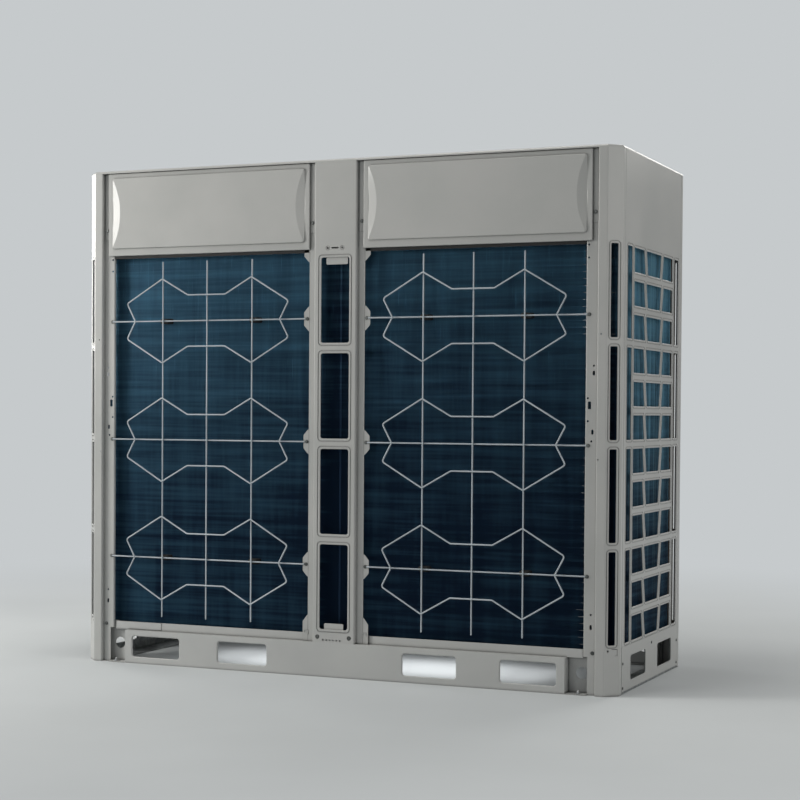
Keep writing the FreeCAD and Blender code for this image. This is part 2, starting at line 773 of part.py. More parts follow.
def cabinet_panel(label, side, front, rise, tab_base):
    """Screwed tray panel with an embossed face and a screw tab down each side."""
    body = new_body(label)
    sides = span(side, "panel_inner", "width / 2 - panel_outer_inset")
    back, face = FLANGE_Y, "depth / 2 - panel_setback"
    add(body, f"{label}_tray", "XZ", span(front, back, face), [plate(sides, rise)])
    hollow = plate((f"{sides[0]} + skin", f"{sides[1]} - skin"), (f"{rise[0]} + skin", f"{rise[1]} - skin"))
    cut(body, f"{label}_hollow", "XZ", span(front, back, f"{face} - skin"), [hollow])
    tabs = [plate((f"{sides[0]} - tab_width", sides[0]), (tab_base, rise[1])),
            plate((sides[1], f"{sides[1]} + tab_width"), (tab_base, rise[1]))]
    add(body, f"{label}_tabs", "XZ", span(front, back, f"{back} + skin"), tabs)
    if front < 0:
        embossed(body, f"{label}_plateau", sides, rise)
    else:
        raised(body, f"{label}_plateau", sides, rise)


# Wire guards


def bow_tie():
    """Corners of one wire loop about the middle of the guard: two lobes pinched at the row wire."""
    quarter = [("wire_column * 1.62", "0"), ("wire_column * 1.81", "wire_column * 0.354"),
               ("wire_column", "wire_column * 0.833"), ("wire_column * 0.417", "wire_column * 0.506")]
    upper = quarter + [(f"-({x})", z) for x, z in quarter[::-1]]
    lower = [(x, f"-({z})") for x, z in upper[1:-1]]
    return upper + lower[::-1]


def wire_guard(label, side):
    """Three rows that lie on the flanges, three uprights on the rows, and a loop on each row."""
    centre = mirrored(side, "wire_centre")
    wires = []
    for i in range(3):
        z = f"wire_row + {i} * wire_row_pitch"
        low, high = span(side, "wire_inner", "wire_outer")
        row = (low, f"-({ROW_Y})", z)
        wires.append(prism(f"{label}_row_{i}", 6, row, "wire_radius", f"({high}) - ({low})", "x"))
        upright = (f"{centre} + {i - 1} * wire_column", f"-({UPRIGHT_Y})", "wire_low")
        wires.append(prism(f"{label}_upright_{i}", 6, upright, "wire_radius", "wire_high - wire_low"))
    loops = doc.addObject("PartDesign::Body", f"{label}_loops")
    path = drawing(loops, f"{label}_path", "XZ", f"-({LOOP_Y})")
    outline(path, [(f"{centre} + {x}", f"wire_row + {z}") for x, z in bow_tie()])
    section = drawing(loops, f"{label}_round", "YZ", centre)
    outline(section, regular(6, f"-({LOOP_Y})", "wire_row + wire_column * 0.506", "wire_radius"))
    loop = loops.newObject("PartDesign::AdditivePipe", f"{label}_loop")
    loop.Profile = section
    loop.Spine = path
    loop.Transition = "Right corner"
    repeat(loops, loop, "wire_row_pitch", "3", path)
    group(label, wires + [loops])


def guard_pads(label):
    """Dark pads that hold the outer uprights off the coils at the lowest and highest rows."""
    pads = []
    y = (f"-({FLANGE_Y})", f"-({COIL_FACE})")
    for side in (-1, 1):
        for column in (-1, 1):
            x = f"{mirrored(side, 'wire_centre')} + {column} * wire_column"
            for z in ("wire_row", "wire_row + 2 * wire_row_pitch"):
                pads.append(block(f"{label}_{len(pads)}", (f"{x} - pad_half", f"{x} + pad_half"), y,
                                  (f"{z} - pad_rise", f"{z} + pad_rise")))
    group(label, pads)


# Inner frame


def mid_beam(label, front):
    """Channel between the corner posts, under the upper panels."""
    body = new_body(label)
    web, toe = mirrored(front, BEAM_Y), mirrored(front, f"{BEAM_Y} - beam_depth")
    top = "beam_base + beam_height"
    path = [(toe, "beam_base", 0, 1), (web, "beam_base", -front, 1), (web, top, -front, -1), (toe, top, 0, -1)]
    add(body, f"{label}_channel", "YZ", (f"-({FLANGE_X})", FLANGE_X), [folded(path, "post_sheet")])


def centre_partition(label):
    body = new_body(label)
    end = f"{BEAM_Y} - beam_depth - clearance"
    start = f"-({COIL_FACE} - coil_depth - clearance)"
    path = [("panel_return", start, 0, 1), ("-skin / 2", start, 1, 1), ("-skin / 2", end, 1, -1),
            ("panel_return", end, 0, -1)]
    add(body, f"{label}_sheet", "XY", (PAN_FLOOR, COVER_UNDER), [folded(path, "skin")])
    spots = ((CROSS_PIPE_Y, "cross_pipe_height"), (LIQUID_PIPE_Y, "liquid_pipe_height"))
    holes = [plate((f"{y} - pipe_hole_half", f"{y} + pipe_hole_half"),
                   (f"{z} - pipe_hole_half", f"{z} + pipe_hole_half")) for y, z in spots]
    cut(body, f"{label}_holes", "YZ", ("-skin / 2", "skin / 2"), holes)


def motor_rails(label, side):
    """Two channels that rest on the mid beams and carry one fan motor."""
    rails = []
    reach = f"{BEAM_Y} - post_sheet"
    base = "beam_base + beam_height"
    for hand in (-1, 1):
        name = f"{label}_{'right' if hand > 0 else 'left'}"
        body = doc.addObject("PartDesign::Body", name)
        x = f"{mirrored(side, FAN_X)} + {hand} * rail_half_gap"
        low, high = f"{x} - rail_width / 2", f"{x} + rail_width / 2"
        path = [(low, base, 1, 0), (low, f"{base} + rail_rise", 1, -1), (high, f"{base} + rail_rise", -1, -1),
                (high, base, -1, 0)]
        add(body, f"{name}_channel", "XZ", (f"-({reach})", reach), [folded(path, "post_sheet")])
        rails.append(body)
    group(label, rails)


# Coils


def coil(label, side):
    """Finned block that runs along the front, turns the corner and runs along the end."""
    body = new_body(label)
    back = f"{COIL_FACE} - coil_depth"
    inner = f"{COIL_SIDE} - coil_depth"
    corners = [
        ("coil_inner", f"-({COIL_FACE})"),
        (COIL_SIDE, f"-({COIL_FACE})", "coil_radius"),
        (COIL_SIDE, "coil_rear"),
        (inner, "coil_rear"),
        (inner, f"-({back})", "(coil_radius - coil_depth)"),
        ("coil_inner", f"-({back})"),
    ]
    corners = [(mirrored(side, corner[0]),) + corner[1:] for corner in corners]
    add(body, f"{label}_plan", "XY", ("coil_base", "coil_top"), [corners])


def coil_end_plates(label):
    """Sheets that close both ends of each coil, stand on the pan floor and carry the fins."""
    plates = []
    tall = (PAN_FLOOR, "coil_top")
    for side, hand in ((-1, "left"), (1, "right")):
        plates.append(block(f"{label}_near_{hand}", span(side, "coil_inner - skin", "coil_inner"),
                            (f"-({COIL_FACE})", f"-({COIL_FACE} - coil_depth)"), tall))
        plates.append(block(f"{label}_far_{hand}", span(side, f"{COIL_SIDE} - coil_depth", COIL_SIDE),
                            ("coil_rear", "coil_rear + skin"), tall))
    group(label, plates)


def coil_headers(label):
    """Gas and liquid headers behind each far end plate, each on three short stubs."""
    pieces = []
    start = "coil_rear + skin"
    tall = "coil_top - coil_base - 2 * header_gap"
    kinds = (("gas", GAS_HEADER_X, "header_radius"), ("liquid", LIQUID_HEADER_X, "header_radius * 3 / 4"))
    for side, hand in ((-1, "left"), (1, "right")):
        for kind, x, radius in kinds:
            name, place = f"{label}_{kind}_{hand}", mirrored(side, x)
            pieces.append(prism(name, 8, (place, HEADER_Y, "coil_base + header_gap"), radius, tall))
            for i in range(3):
                z = f"coil_base + 3 * header_gap + {i} * (coil_top - coil_base - 6 * header_gap) / 2"
                reach = f"header_gap - ({radius}) * cos(22.5)"
                pieces.append(prism(f"{name}_stub_{i}", 8, (place, start, z), "stub_radius", reach, "y"))
    group(label, pieces)


# Top


def octagon(inset, miter):
    """Corners of the cover outline, moved inwards by inset."""
    x, y = f"width / 2 - {inset}", f"depth / 2 - {inset}"
    cut_x, cut_y = f"width / 2 - corner_cut - {miter}", f"depth / 2 - corner_cut - {miter}"
    return [(f"-({cut_x})", f"-({y})"), (cut_x, f"-({y})"), (x, f"-({cut_y})"), (x, cut_y), (cut_x, y),
            (f"-({cut_x})", y), (f"-({x})", cut_y), (f"-({x})", f"-({cut_y})")]


def top_cover(label):
    """Shallow lid with a turned-down skirt and a round opening over each fan."""
    body = new_body(label)
    add(body, f"{label}_lid", "XY", ("height - cover_skirt", "height"), [octagon("0", "0")])
    hollow = octagon("skin", "skin * tan(22.5)")
    cut(body, f"{label}_hollow", "XY", ("height - cover_skirt", COVER_UNDER), [hollow])
    openings = [(mirrored(side, FAN_X), "0", "mouth_radius") for side in (-1, 1)]
    cut(body, f"{label}_openings", "XY", (COVER_UNDER, "height"), [], openings)


def bell_mouth(label, side):
    """Ring round the fan that hangs under the cover, with a rolled lip at its inlet."""
    body = new_body(label)
    outer = "mouth_radius + mouth_wall"
    for name, radius, reach in (("throat", outer, ("-mouth_drop", "0")),
                                ("lip", f"{outer} + mouth_lip", ("-mouth_drop", "-mouth_drop + mouth_lip"))):
        rings = [regular(MOUTH_FLATS, "0", "0", size) for size in (radius, "mouth_radius")]
        add(body, f"{label}_{name}", "XY", reach, rings)
    stand_at(body, mirrored(side, FAN_X), "0", COVER_UNDER)


def fan_guard(label, hoop_label, side):
    """Finger guard: a hoop on the cover, bars that stand on the hoop and rise to a boss."""
    rim = "mouth_radius + guard_rim"
    boss, bars = (doc.addObject("PartDesign::Body", f"{label}_{name}") for name in ("boss", "bars"))
    hoop = new_body(hoop_label)
    flats = SIZES["guard_bars"]
    high = "guard_rise + guard_bar"
    add(boss, f"{label}_disc", "XY", ("guard_rise", high), [regular(flats, "0", "0", "guard_boss")])
    inner = "mouth_radius + seam"
    add(hoop, f"{hoop_label}_ring", "XY", ("0", "guard_rim_height"),
        [regular(flats, "0", "0", rim), regular(flats, "0", "0", inner)])
    sketch = drawing(bars, f"{label}_bar_side", "XZ", "0 - guard_bar / 2")
    outline(sketch, [("guard_boss", "guard_rise"), (inner, "guard_rim_height"), (rim, "guard_rim_height"),
                     (rim, "guard_rim_height + guard_bar"), ("guard_boss", high)])
    bar = bars.newObject("PartDesign::Pad", f"{label}_bar")
    bar.Profile = sketch
    bar.setExpression("Length", ref("guard_bar"))
    bar.Refine = False
    ring_of(bars, [bar], "guard_bars")
    for body in (boss, hoop, bars):
        stand_at(body, mirrored(side, FAN_X), "0", "height")
    group(label, [boss, bars])


# Fans


def fan_rotor(label, side):
    """Round hub with pitched blades that rise in their middle, widen outwards and sweep forwards."""
    body = new_body(label)
    tip = "mouth_radius - blade_tip_gap"
    start = "hub_radius * 0.6"
    sketch = drawing(body, f"{label}_section", "YZ", start)
    lower, upper = [], []
    for share, rise in ((-0.5, 0), (0, BLADE_CAMBER), (0.5, 0)):
        across = f"blade_sweep + blade_chord * ({share} * cos({BLADE_PITCH}) - {rise} * sin({BLADE_PITCH}))"
        up = f"hub_height / 2 + blade_chord * ({share} * sin({BLADE_PITCH}) + {rise} * cos({BLADE_PITCH}))"
        lower.append((across, up))
        upper.append((f"{across} - blade_sheet * sin({BLADE_PITCH})",
                      f"{up} + blade_sheet * cos({BLADE_PITCH})"))
    outline(sketch, lower + upper[::-1])
    blade = body.newObject("PartDesign::Pad", f"{label}_blade")
    blade.Profile = sketch
    blade.setExpression("Length", ref(f"mouth_radius - {start}"))
    blade.Refine = False
    far, low, high = "mouth_radius + blade_chord", "-2 * hub_height", "3 * hub_height"
    root = "hub_radius * 0.6"
    leading = [("0", root), ("mouth_radius", "blade_chord * 0.72"), ("mouth_radius", far), ("0", far)]
    trailing = [("0", f"-({root})"), ("0", f"-({far})"), ("mouth_radius", f"-({far})"),
                ("mouth_radius", "-blade_chord * 0.34")]
    sides = cut(body, f"{label}_sides", "XY", (low, high), [leading, trailing])
    sides.Refine = False
    ring_of(body, [blade, sides], "blade_count")
    rings = [regular(TIP_FLATS, "0", "0", size) for size in (f"2 * ({far})", tip)]
    cut(body, f"{label}_tips", "XY", (low, high), rings)
    add(body, f"{label}_hub", "XY", ("0", "hub_height"), [regular(TIP_FLATS, "0", "0", "hub_radius")])
    stand_at(body, mirrored(side, FAN_X), "0", HUB_BASE)


def fan_shaft(label, side):
    """Motor shaft: it turns in the motor's bore and ends in the face of the hub."""
    base = f"{MOTOR_BASE} + motor_plate + motor_height / 2 + bore_gap"
    keep(rod(label, (mirrored(side, FAN_X), "0", base), "shaft_radius", f"{HUB_BASE} - ({base})"), label)


def fan_motor(label, side):
    """Motor shell on a foot plate that bridges the two rails, with a blind bore for the shaft."""
    body = new_body(label)
    half = "rail_half_gap + rail_width / 2"
    add(body, f"{label}_plate", "XY", ("0", "motor_plate"), [plate((f"-({half})", half), (f"-({half})", half))])
    base, top = "motor_plate", "motor_plate + motor_height"
    bore = "shaft_radius + bore_gap"
    add(body, f"{label}_shell", "XY", (base, top), [regular(TIP_FLATS, "0", "0", "motor_radius")])
    cut(body, f"{label}_bore", "XY", ("motor_plate + motor_height / 2", top), [], [("0", "0", bore)])
    stand_at(body, mirrored(side, FAN_X), "0", MOTOR_BASE)


# Refrigerant circuit


def vessel(label, x, y, base, radius, height, foot_width=None):
    """Welded steel vessel with a bevelled top, on a square foot plate where it has one."""
    body = new_body(label)
    foot = "0"
    if foot_width:
        half = f"{foot_width} / 2"
        add(body, f"{label}_foot", "XY", ("0", "foot_plate"), [plate((f"-{half}", half), (f"-{half}", half))])
        foot = "foot_plate"
    wall = add(body, f"{label}_wall", "XY", (foot, height), [regular(VESSEL_FLATS, "0", "0", radius)])
    bevelled(body, wall, "dome", Vector(0, 0, 1))
    stand_at(body, x, y, base)


def grommets(label):
    """Rubber mounts under the four corners of each compressor's foot plate."""
    mounts = []
    offset = "compressor_foot / 2 - grommet_radius"
    for side in (-1, 1):
        for across in (-1, 1):
            for along in (-1, 1):
                x = f"-compressor_x + {side} * compressor_pitch / 2 + {across} * ({offset})"
                y = f"compressor_y + {along} * ({offset})"
                name = f"{label}_{len(mounts)}"
                mounts.append(prism(name, 8, (x, y, PAN_FLOOR), "grommet_radius", "grommet_height"))
    group(label, mounts)


def tube(name, plane, level, route, radius="pipe_radius"):
    """A pipe that follows a route of square turns in one plane; a chord cuts each of its bends."""
    body = doc.addObject("PartDesign::Body", name)
    spots = [tuple(value(text) for text in point) for point in route]
    path = drawing(body, f"{name}_path", plane, level)
    line = [route[0]]
    for i in range(1, len(route) - 1):
        for neighbour in (i - 1, i + 1):
            along = 0 if abs(spots[neighbour][0] - spots[i][0]) > abs(spots[neighbour][1] - spots[i][1]) else 1
            sign = "+" if spots[neighbour][along] > spots[i][along] else "-"
            point = list(route[i])
            point[along] = f"{point[along]} {sign} pipe_bend"
            line.append(tuple(point))
    line.append(route[-1])
    trace(path, line)
    first = 0 if abs(spots[1][0] - spots[0][0]) > abs(spots[1][1] - spots[0][1]) else 1
    axis = plane[first]
    section_plane = {"X": "YZ", "Y": "XZ", "Z": "XY"}[axis]
    centre = dict(zip(plane, route[0])) | {next(letter for letter in "XYZ" if letter not in plane): level}
    section = drawing(body, f"{name}_section", section_plane, centre[axis])
    outline(section, regular(PIPE_FLATS, centre[section_plane[0]], centre[section_plane[1]], radius))
    pipe = body.newObject("PartDesign::AdditivePipe", f"{name}_sweep")
    pipe.Profile = section
    pipe.Spine = path
    pipe.Transition = "Right corner"
    pipe.Refine = False
    return body


def trace(sketch, corners):
    """Draw an open chain of straight lines."""
    places = [Vector(value(x), value(y), 0) for x, y in corners]
    sketch.addGeometry([Part.LineSegment(start, end) for start, end in zip(places, places[1:])], False)
    pin(sketch, 0, 1, corners[0])
    for i, corner in enumerate(corners[1:]):
        if i:
            sketch.addConstraint(Sketcher.Constraint("Coincident", i - 1, 2, i, 1))
        pin(sketch, i, 2, corner)


def compressor_pipes(label):
    """Suction pipes from the accumulator, discharge pipes to the oil separator, and its outlet."""
    pipes = []
    compressor_top = f"{PAN_FLOOR} + grommet_height + compressor_height"
    for hand, level, height in ((-1, "suction_near", "discharge_far"), (1, "suction_far", "discharge_near")):
        centre = f"-compressor_x + {hand} * compressor_pitch / 2"
        shell = f"{centre} - compressor_radius"
        top = f"-vessel_x - {hand} * suction_spread"
        column = f"{shell} - suction_gap"
        pipes.append(tube(f"{label}_suction_{len(pipes)}", "XZ", "compressor_y", [
            (top, f"{PAN_FLOOR} + vessel_height"), (top, level), (column, level), (column, "suction_entry"),
            (shell, "suction_entry")]))
        inlet = f"-separator_x - {hand} * discharge_spread"
        pipes.append(tube(f"{label}_discharge_{len(pipes)}", "XZ", "separator_y", [
            (centre, compressor_top), (centre, height), (inlet, height),
            (inlet, f"{PAN_FLOOR} + separator_height")]))
    pipes.append(tube(f"{label}_outlet", "YZ", "-separator_x", [
        ("separator_y - separator_radius", "separator_outlet"), ("slide_y", "separator_outlet"),
        ("slide_y", "slide_base")]))
    group(label, pipes)


def gas_pipes(label):
    """Pipes between the four-way valve, both coils, the accumulator and the gas stop valve."""
    top = "slide_base + 2 * slide_radius"
    lower = "-slide_x - port_middle"
    side, height = f"{HEADER_Y} + header_radius", "cross_pipe_height"
    cross = tube(f"{label}_cross", "XY", height, [
        (f"-({GAS_HEADER_X})", side), (f"-({GAS_HEADER_X})", CROSS_PIPE_Y), (GAS_HEADER_X, CROSS_PIPE_Y),
        (GAS_HEADER_X, side)])
    tee = tube(f"{label}_tee", "YZ", lower, [
        (f"{CROSS_PIPE_Y} - pipe_radius", height), ("slide_y", height), ("slide_y", "slide_base")])
    far = "-slide_x - port_far"
    back = tube(f"{label}_return", "XZ", "slide_y", [
        (far, top), (far, "return_height"), ("-vessel_x", "return_height"),
        ("-vessel_x", f"{PAN_FLOOR} + vessel_height")])
    near = "-slide_x + port_near"
    rise = tube(f"{label}_rise", "YZ", near, [
        ("slide_y", top), ("slide_y", "gas_line_height"), (f"{HEADER_Y} + pipe_radius", "gas_line_height")])
    line = tube(f"{label}_line", "XZ", HEADER_Y, [
        (near, "gas_line_height"), ("-stop_x", "gas_line_height"), ("-stop_x", "stop_base + stop_height")])
    group(label, [cross, tee, back, joined(f"{label}_gas_line", [rise, line])])


def liquid_pipes(label):
    """Pipes from the liquid header of each coil to the liquid stop valve."""
    start = f"{LIQUID_HEADER_X} - header_radius * 3 / 4"
    valve = "-stop_x - stop_pitch"
    radius = "pipe_radius * 3 / 4"
    left = tube(f"{label}_left", "XY", "liquid_entry_height",
                [(f"-({start})", HEADER_Y), (f"{valve} - stop_radius", HEADER_Y)], radius)
    turn = f"{start} - 2 * suction_gap"
    right = tube(f"{label}_right", "XY", "liquid_pipe_height", [
        (start, HEADER_Y), (turn, HEADER_Y), (turn, LIQUID_PIPE_Y), (valve, LIQUID_PIPE_Y),
        (valve, f"{HEADER_Y} + stop_radius")], radius)
    group(label, [left, right])


def four_way_valve(label):
    """Slide valve body that lies across the unit above the compressors, with end caps."""
    middle = "slide_base + slide_radius"
    start = ("-slide_x - slide_half", "slide_y", middle)
    body = prism(f"{label}_body", 16, start, "slide_radius", "2 * slide_half", "x")
    half = "slide_radius / 2"
    caps = [prism(f"{label}_cap_{i}", 16, (x, "slide_y", middle), half, half, "x")
            for i, x in enumerate(("-slide_x + slide_half", "-slide_x - slide_half - slide_radius / 2"))]
    group(label, [body] + caps)


def stop_valves(label):
    """Gas and liquid stop valves with closed caps, on an angle bracket that stands on the pan."""
    wide = ("-stop_x - stop_pitch - 3 * stop_radius", "-stop_x + 3 * stop_radius")
    rear = f"{HEADER_Y} + 2 * stop_radius"
    deep = (f"{HEADER_Y} - 2 * stop_radius", rear)
    shelf = block(f"{label}_shelf", wide, deep, ("stop_base - skin", "stop_base"))
    leg = block(f"{label}_leg", wide, (f"{rear} - skin", rear), (PAN_FLOOR, "stop_base - skin"))
    pieces = [joined(f"{label}_bracket", [shelf, leg])]
    for name, x in (("gas", "-stop_x"), ("liquid", "-stop_x - stop_pitch")):
        pieces.append(prism(f"{label}_{name}", 8, (x, HEADER_Y, "stop_base"), "stop_radius", "stop_height"))
        cap = (x, f"{HEADER_Y} - stop_radius - 2 * stop_cap", "stop_base + stop_height / 2")
        pieces.append(prism(f"{label}_{name}_cap", 6, cap, "stop_cap", "2 * stop_cap", "y"))
    group(label, pieces)


def control_box(label):
    """Tray for the electrical gear, hung on the centre partition and open to the rear."""
    body = new_body(label)
    x = ("skin / 2", "skin / 2 + box_width")
    rear = f"{FLANGE_Y} - box_rear_gap"
    y = (f"{rear} - box_depth", rear)
    z = ("box_base", "box_base + box_height")
    add(body, f"{label}_tray", "XZ", y, [plate(x, z)])
    hollow = plate((f"{x[0]} + skin", f"{x[1]} - skin"), (f"{z[0]} + skin", f"{z[1]} - skin"))
    cut(body, f"{label}_hollow", "XZ", (f"{y[0]} + skin", y[1]), [hollow])
    cover = block(f"{label}_cover", x, (rear, f"{rear} + skin"), z)
    keep(cover, f"{label}_cover")


# Fasteners


def screw_heads(label):
    """Hexagon heads on the panel tabs and the base end panels."""
    heads = []
    for front in (-1, 1):
        y = mirrored(front, f"{FLANGE_Y} + skin")
        start = y if front > 0 else f"{y} - screw_head"
        for side in (-1, 1):
            for x in ("panel_inner - tab_width / 2", "width / 2 - panel_outer_inset + tab_width / 2"):
                place = (mirrored(side, x), start, "tab_base + 2 * tab_width")
                heads.append(prism(f"{label}_{len(heads)}", 6, place, "screw_radius", "screw_head", "y"))
    low, high = "end_lift + 2 * screw_radius", "end_open_base + end_open_height - 3 * screw_radius"
    edge = f"{SIDE_END} - 2 * screw_radius"
    spots = [(f"-({edge})", low), (f"-({edge})", high), (edge, low), (edge, high),
             ("end_open_shift", "rail_height + 2 * screw_radius")]
    for side in (-1, 1):
        start = HALF_WIDTH if side > 0 else "-(width / 2) - screw_head"
        for y, z in spots:
            heads.append(prism(f"{label}_{len(heads)}", 6, (start, y, z), "screw_radius", "screw_head", "x"))
    group(label, heads)


def build():
    base_rail("base_rail_front", -1)
    base_rail("base_rail_rear", 1)
    cross_members("base_cross_members")
    drain_pan("drain_pan")
    for front, end in ((-1, "front"), (1, "rear")):
        centre_post(f"centre_post_{end}", front, front < 0)
        mid_beam(f"mid_beam_{end}", front)
        for side, hand in ((-1, "left"), (1, "right")):
            corner_post(f"corner_post_{end}_{hand}", side, front)
            upper = ("panel_base", "panel_top")
            cabinet_panel(f"upper_panel_{end}_{hand}", side, front, upper, "tab_base")
    centre_partition("centre_partition")
    top_cover("top_cover")
    for side, hand in ((-1, "left"), (1, "right")):
        side_member(f"base_side_{hand}", side)
        base_end_panel(f"base_end_panel_{hand}", side)
        side_panel(f"side_panel_{hand}", side)
        lower = ("service_base", "panel_base - clearance")
        cabinet_panel(f"service_panel_{hand}", side, 1, lower, "service_base")
        wire_guard(f"wire_guard_{hand}", side)
        coil(f"coil_fins_{hand}", side)
        bell_mouth(f"bell_mouth_{hand}", side)
        fan_guard(f"fan_guard_{hand}", f"fan_hoop_{hand}", side)
        motor_rails(f"motor_rails_{hand}", side)
        fan_motor(f"fan_motor_{hand}", side)
        fan_rotor(f"fan_rotor_{hand}", side)
        fan_shaft(f"fan_shaft_{hand}", side)
        vessel(f"compressor_{hand}", f"-compressor_x + {side} * compressor_pitch / 2", "compressor_y",
               f"{PAN_FLOOR} + grommet_height", "compressor_radius", "compressor_height", "compressor_foot")
    coil_end_plates("coil_end_plates")
    coil_headers("coil_headers")
    guard_pads("guard_pads")
    grommets("compressor_grommets")
    vessel("accumulator", "-vessel_x", "compressor_y", PAN_FLOOR, "vessel_radius", "vessel_height")
    vessel("oil_separator", "-separator_x", "separator_y", PAN_FLOOR, "separator_radius", "separator_height")
    compressor_pipes("compressor_pipes")
    gas_pipes("gas_pipes")
    liquid_pipes("liquid_pipes")
    four_way_valve("four_way_valve")
    stop_valves("stop_valves")
    control_box("control_box")
    screw_heads("screw_heads")


def faults():
    """Objects that failed to compute, and pieces without a sound shape."""
    found = [f"{item.Label}: {item.State}" for item in doc.Objects
             if any(word in item.State for word in ("Invalid", "Error"))]
    for part in parts:
        if part.Shape.isNull() or not part.Shape.isValid() or not part.Shape.Solids:
            found.append(f"{part.Label}: no sound solid")
    return found


build()
for item in doc.Objects:
    if item.isDerivedFrom("PartDesign::Body"):
        item.Tip.Refine = True
doc.recompute()
problems = faults()
if problems:
    raise RuntimeError("\n".join(problems))
os.makedirs("parts", exist_ok=True)
for part in parts:
    part.Shape.exportStep(f"parts/{part.Label}.step")
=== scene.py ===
import json
import math
import random

import bmesh
import bpy
from mathutils import Matrix, Vector


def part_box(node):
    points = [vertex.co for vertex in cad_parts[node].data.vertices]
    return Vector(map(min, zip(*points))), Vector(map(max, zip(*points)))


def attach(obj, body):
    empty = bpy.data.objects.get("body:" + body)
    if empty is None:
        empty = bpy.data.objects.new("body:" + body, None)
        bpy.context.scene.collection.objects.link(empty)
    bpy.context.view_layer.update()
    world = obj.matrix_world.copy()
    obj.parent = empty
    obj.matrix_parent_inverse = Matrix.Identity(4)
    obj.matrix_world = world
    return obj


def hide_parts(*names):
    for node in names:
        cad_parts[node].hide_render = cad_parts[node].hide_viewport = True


# Looks of an outdoor unit with two upright fans. Lengths here are millimetres, in the frame of the CAD:
# X along the wide face, the coil face looks along -Y, Z up. Meshes are written in metres.

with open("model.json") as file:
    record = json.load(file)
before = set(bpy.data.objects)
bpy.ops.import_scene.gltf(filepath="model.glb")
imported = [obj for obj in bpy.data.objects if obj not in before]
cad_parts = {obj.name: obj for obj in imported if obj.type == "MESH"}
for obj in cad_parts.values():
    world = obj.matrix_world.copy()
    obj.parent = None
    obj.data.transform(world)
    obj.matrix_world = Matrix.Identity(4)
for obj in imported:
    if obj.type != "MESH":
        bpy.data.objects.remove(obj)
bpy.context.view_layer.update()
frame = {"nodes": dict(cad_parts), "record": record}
scene = bpy.context.scene
MM = 0.001

# Cabinet: half sizes and height, the chamfer of its corners, the top of its posts and of its base rails
HALF_WIDTH, HALF_DEPTH, HEIGHT = 940, 390, 1660
CORNER_CUT, TOP_EDGE, RAIL_TOP = 39, 1651.5, 111
# Posts: where the front lip steps back, where the coil flange ends, and the flange's face
STEP_X, FLANGE_X, FLANGE_Y = 872, 832, 375
# Side panels: how far they reach either way, and the seam at their ends
SIDE_END, SEAM = 330, 0.5
# Sheet thickness of posts and of panels
POST_SHEET, SKIN = 2, 1.5
# Bays: number and pitch, the foot of the first slot and the slots' height
BAYS, BAY_PITCH, SLOT_BASE, SLOT_HEIGHT = 4, 309.5, 153, 284
BAY_BASES = [SLOT_BASE + bay * BAY_PITCH for bay in range(BAYS)]
# Coils: depth, outer bend, pitch and thickness of the fins, pitch of the tube rows
COIL_DEPTH, COIL_BEND, FIN_PITCH, FIN_SHEET, TUBE_PITCH = 44, 100, 2.6, 0.35, 21
# Wire guards: middle, uprights to either side of it, the planes of rows, uprights and loops, the rows' levels
GUARD_X, UPRIGHTS = 471, (-168, 0, 168)
ROW_Y, UPRIGHT_Y, LOOP_Y = -377.5, -382.5, -387.5
WIRE_ROWS = (359.5, 755.8, 1152.1)
# Fans: their axes, the bell mouth, the blades' tips, and the hub with its foot
FAN_X, MOUTH_RADIUS, TIP_RADIUS = 470, 345, 340
HUB_RADIUS, HUB_HEIGHT, HUB_BASE = 90, 80, 1544
HANDS = ((-1, "left"), (1, "right"))


def mm(*place):
    """A place in metres, given in millimetres."""
    return Vector(place) * MM


def linear(hex_colour):
    """The linear colour of an sRGB hex value."""
    parts = [int(hex_colour[i:i + 2], 16) / 255 for i in (1, 3, 5)]
    return tuple(p / 12.92 if p <= 0.04045 else ((p + 0.055) / 1.055) ** 2.4 for p in parts) + (1.0,)


def node(tree, kind, inputs=None, **settings):
    """Add a node: settings are its own fields, inputs are values or sockets to link from."""
    made = tree.nodes.new(kind)
    for field, setting in settings.items():
        setattr(made, field, setting)
    for socket, source in (inputs or {}).items():
        if isinstance(source, bpy.types.NodeSocket):
            tree.links.new(source, made.inputs[socket])
        else:
            made.inputs[socket].default_value = source
    return made


def maths(tree, operation, *values, **settings):
    """The result of one operation on numbers or sockets."""
    return node(tree, "ShaderNodeMath", dict(enumerate(values)), operation=operation, **settings).outputs[0]


def ramp(tree, source, low, high, start=0.0, end=1.0, **settings):
    """A value held between low and high, and spread over start to end."""
    return node(tree, "ShaderNodeMapRange", {0: source, 1: low, 2: high, 3: start, 4: end}, **settings).outputs[0]


def blend(tree, share, first, second):
    """The colour at a share between two, each a hex value or a socket."""
    first, second = (linear(shade) if isinstance(shade, str) else shade for shade in (first, second))
    return node(tree, "ShaderNodeMix", {"Factor": share, 6: first, 7: second}, data_type="RGBA").outputs[2]


# ---- Finishes


def finish_of(name, **shader):
    """A new material with its shader; values that are the same all over are set on the shader's own sockets."""
    made = bpy.data.materials.new(name)
    made.use_nodes = True
    tree = made.node_tree
    tree.nodes.clear()
    principled = node(tree, "ShaderNodeBsdfPrincipled", {key.replace("_", " "): v for key, v in shader.items()})
    node(tree, "ShaderNodeOutputMaterial", {"Surface": principled.outputs["BSDF"]})
    place = node(tree, "ShaderNodeTexCoord").outputs["Object"]
    return made, tree, principled, place


def noise(tree, place, size, detail):
    """Noise whose patches are about size millimetres across."""
    scale = 1 / (size * MM)
    return node(tree, "ShaderNodeTexNoise", {"Vector": place, "Scale": scale, "Detail": detail}).outputs["Fac"]


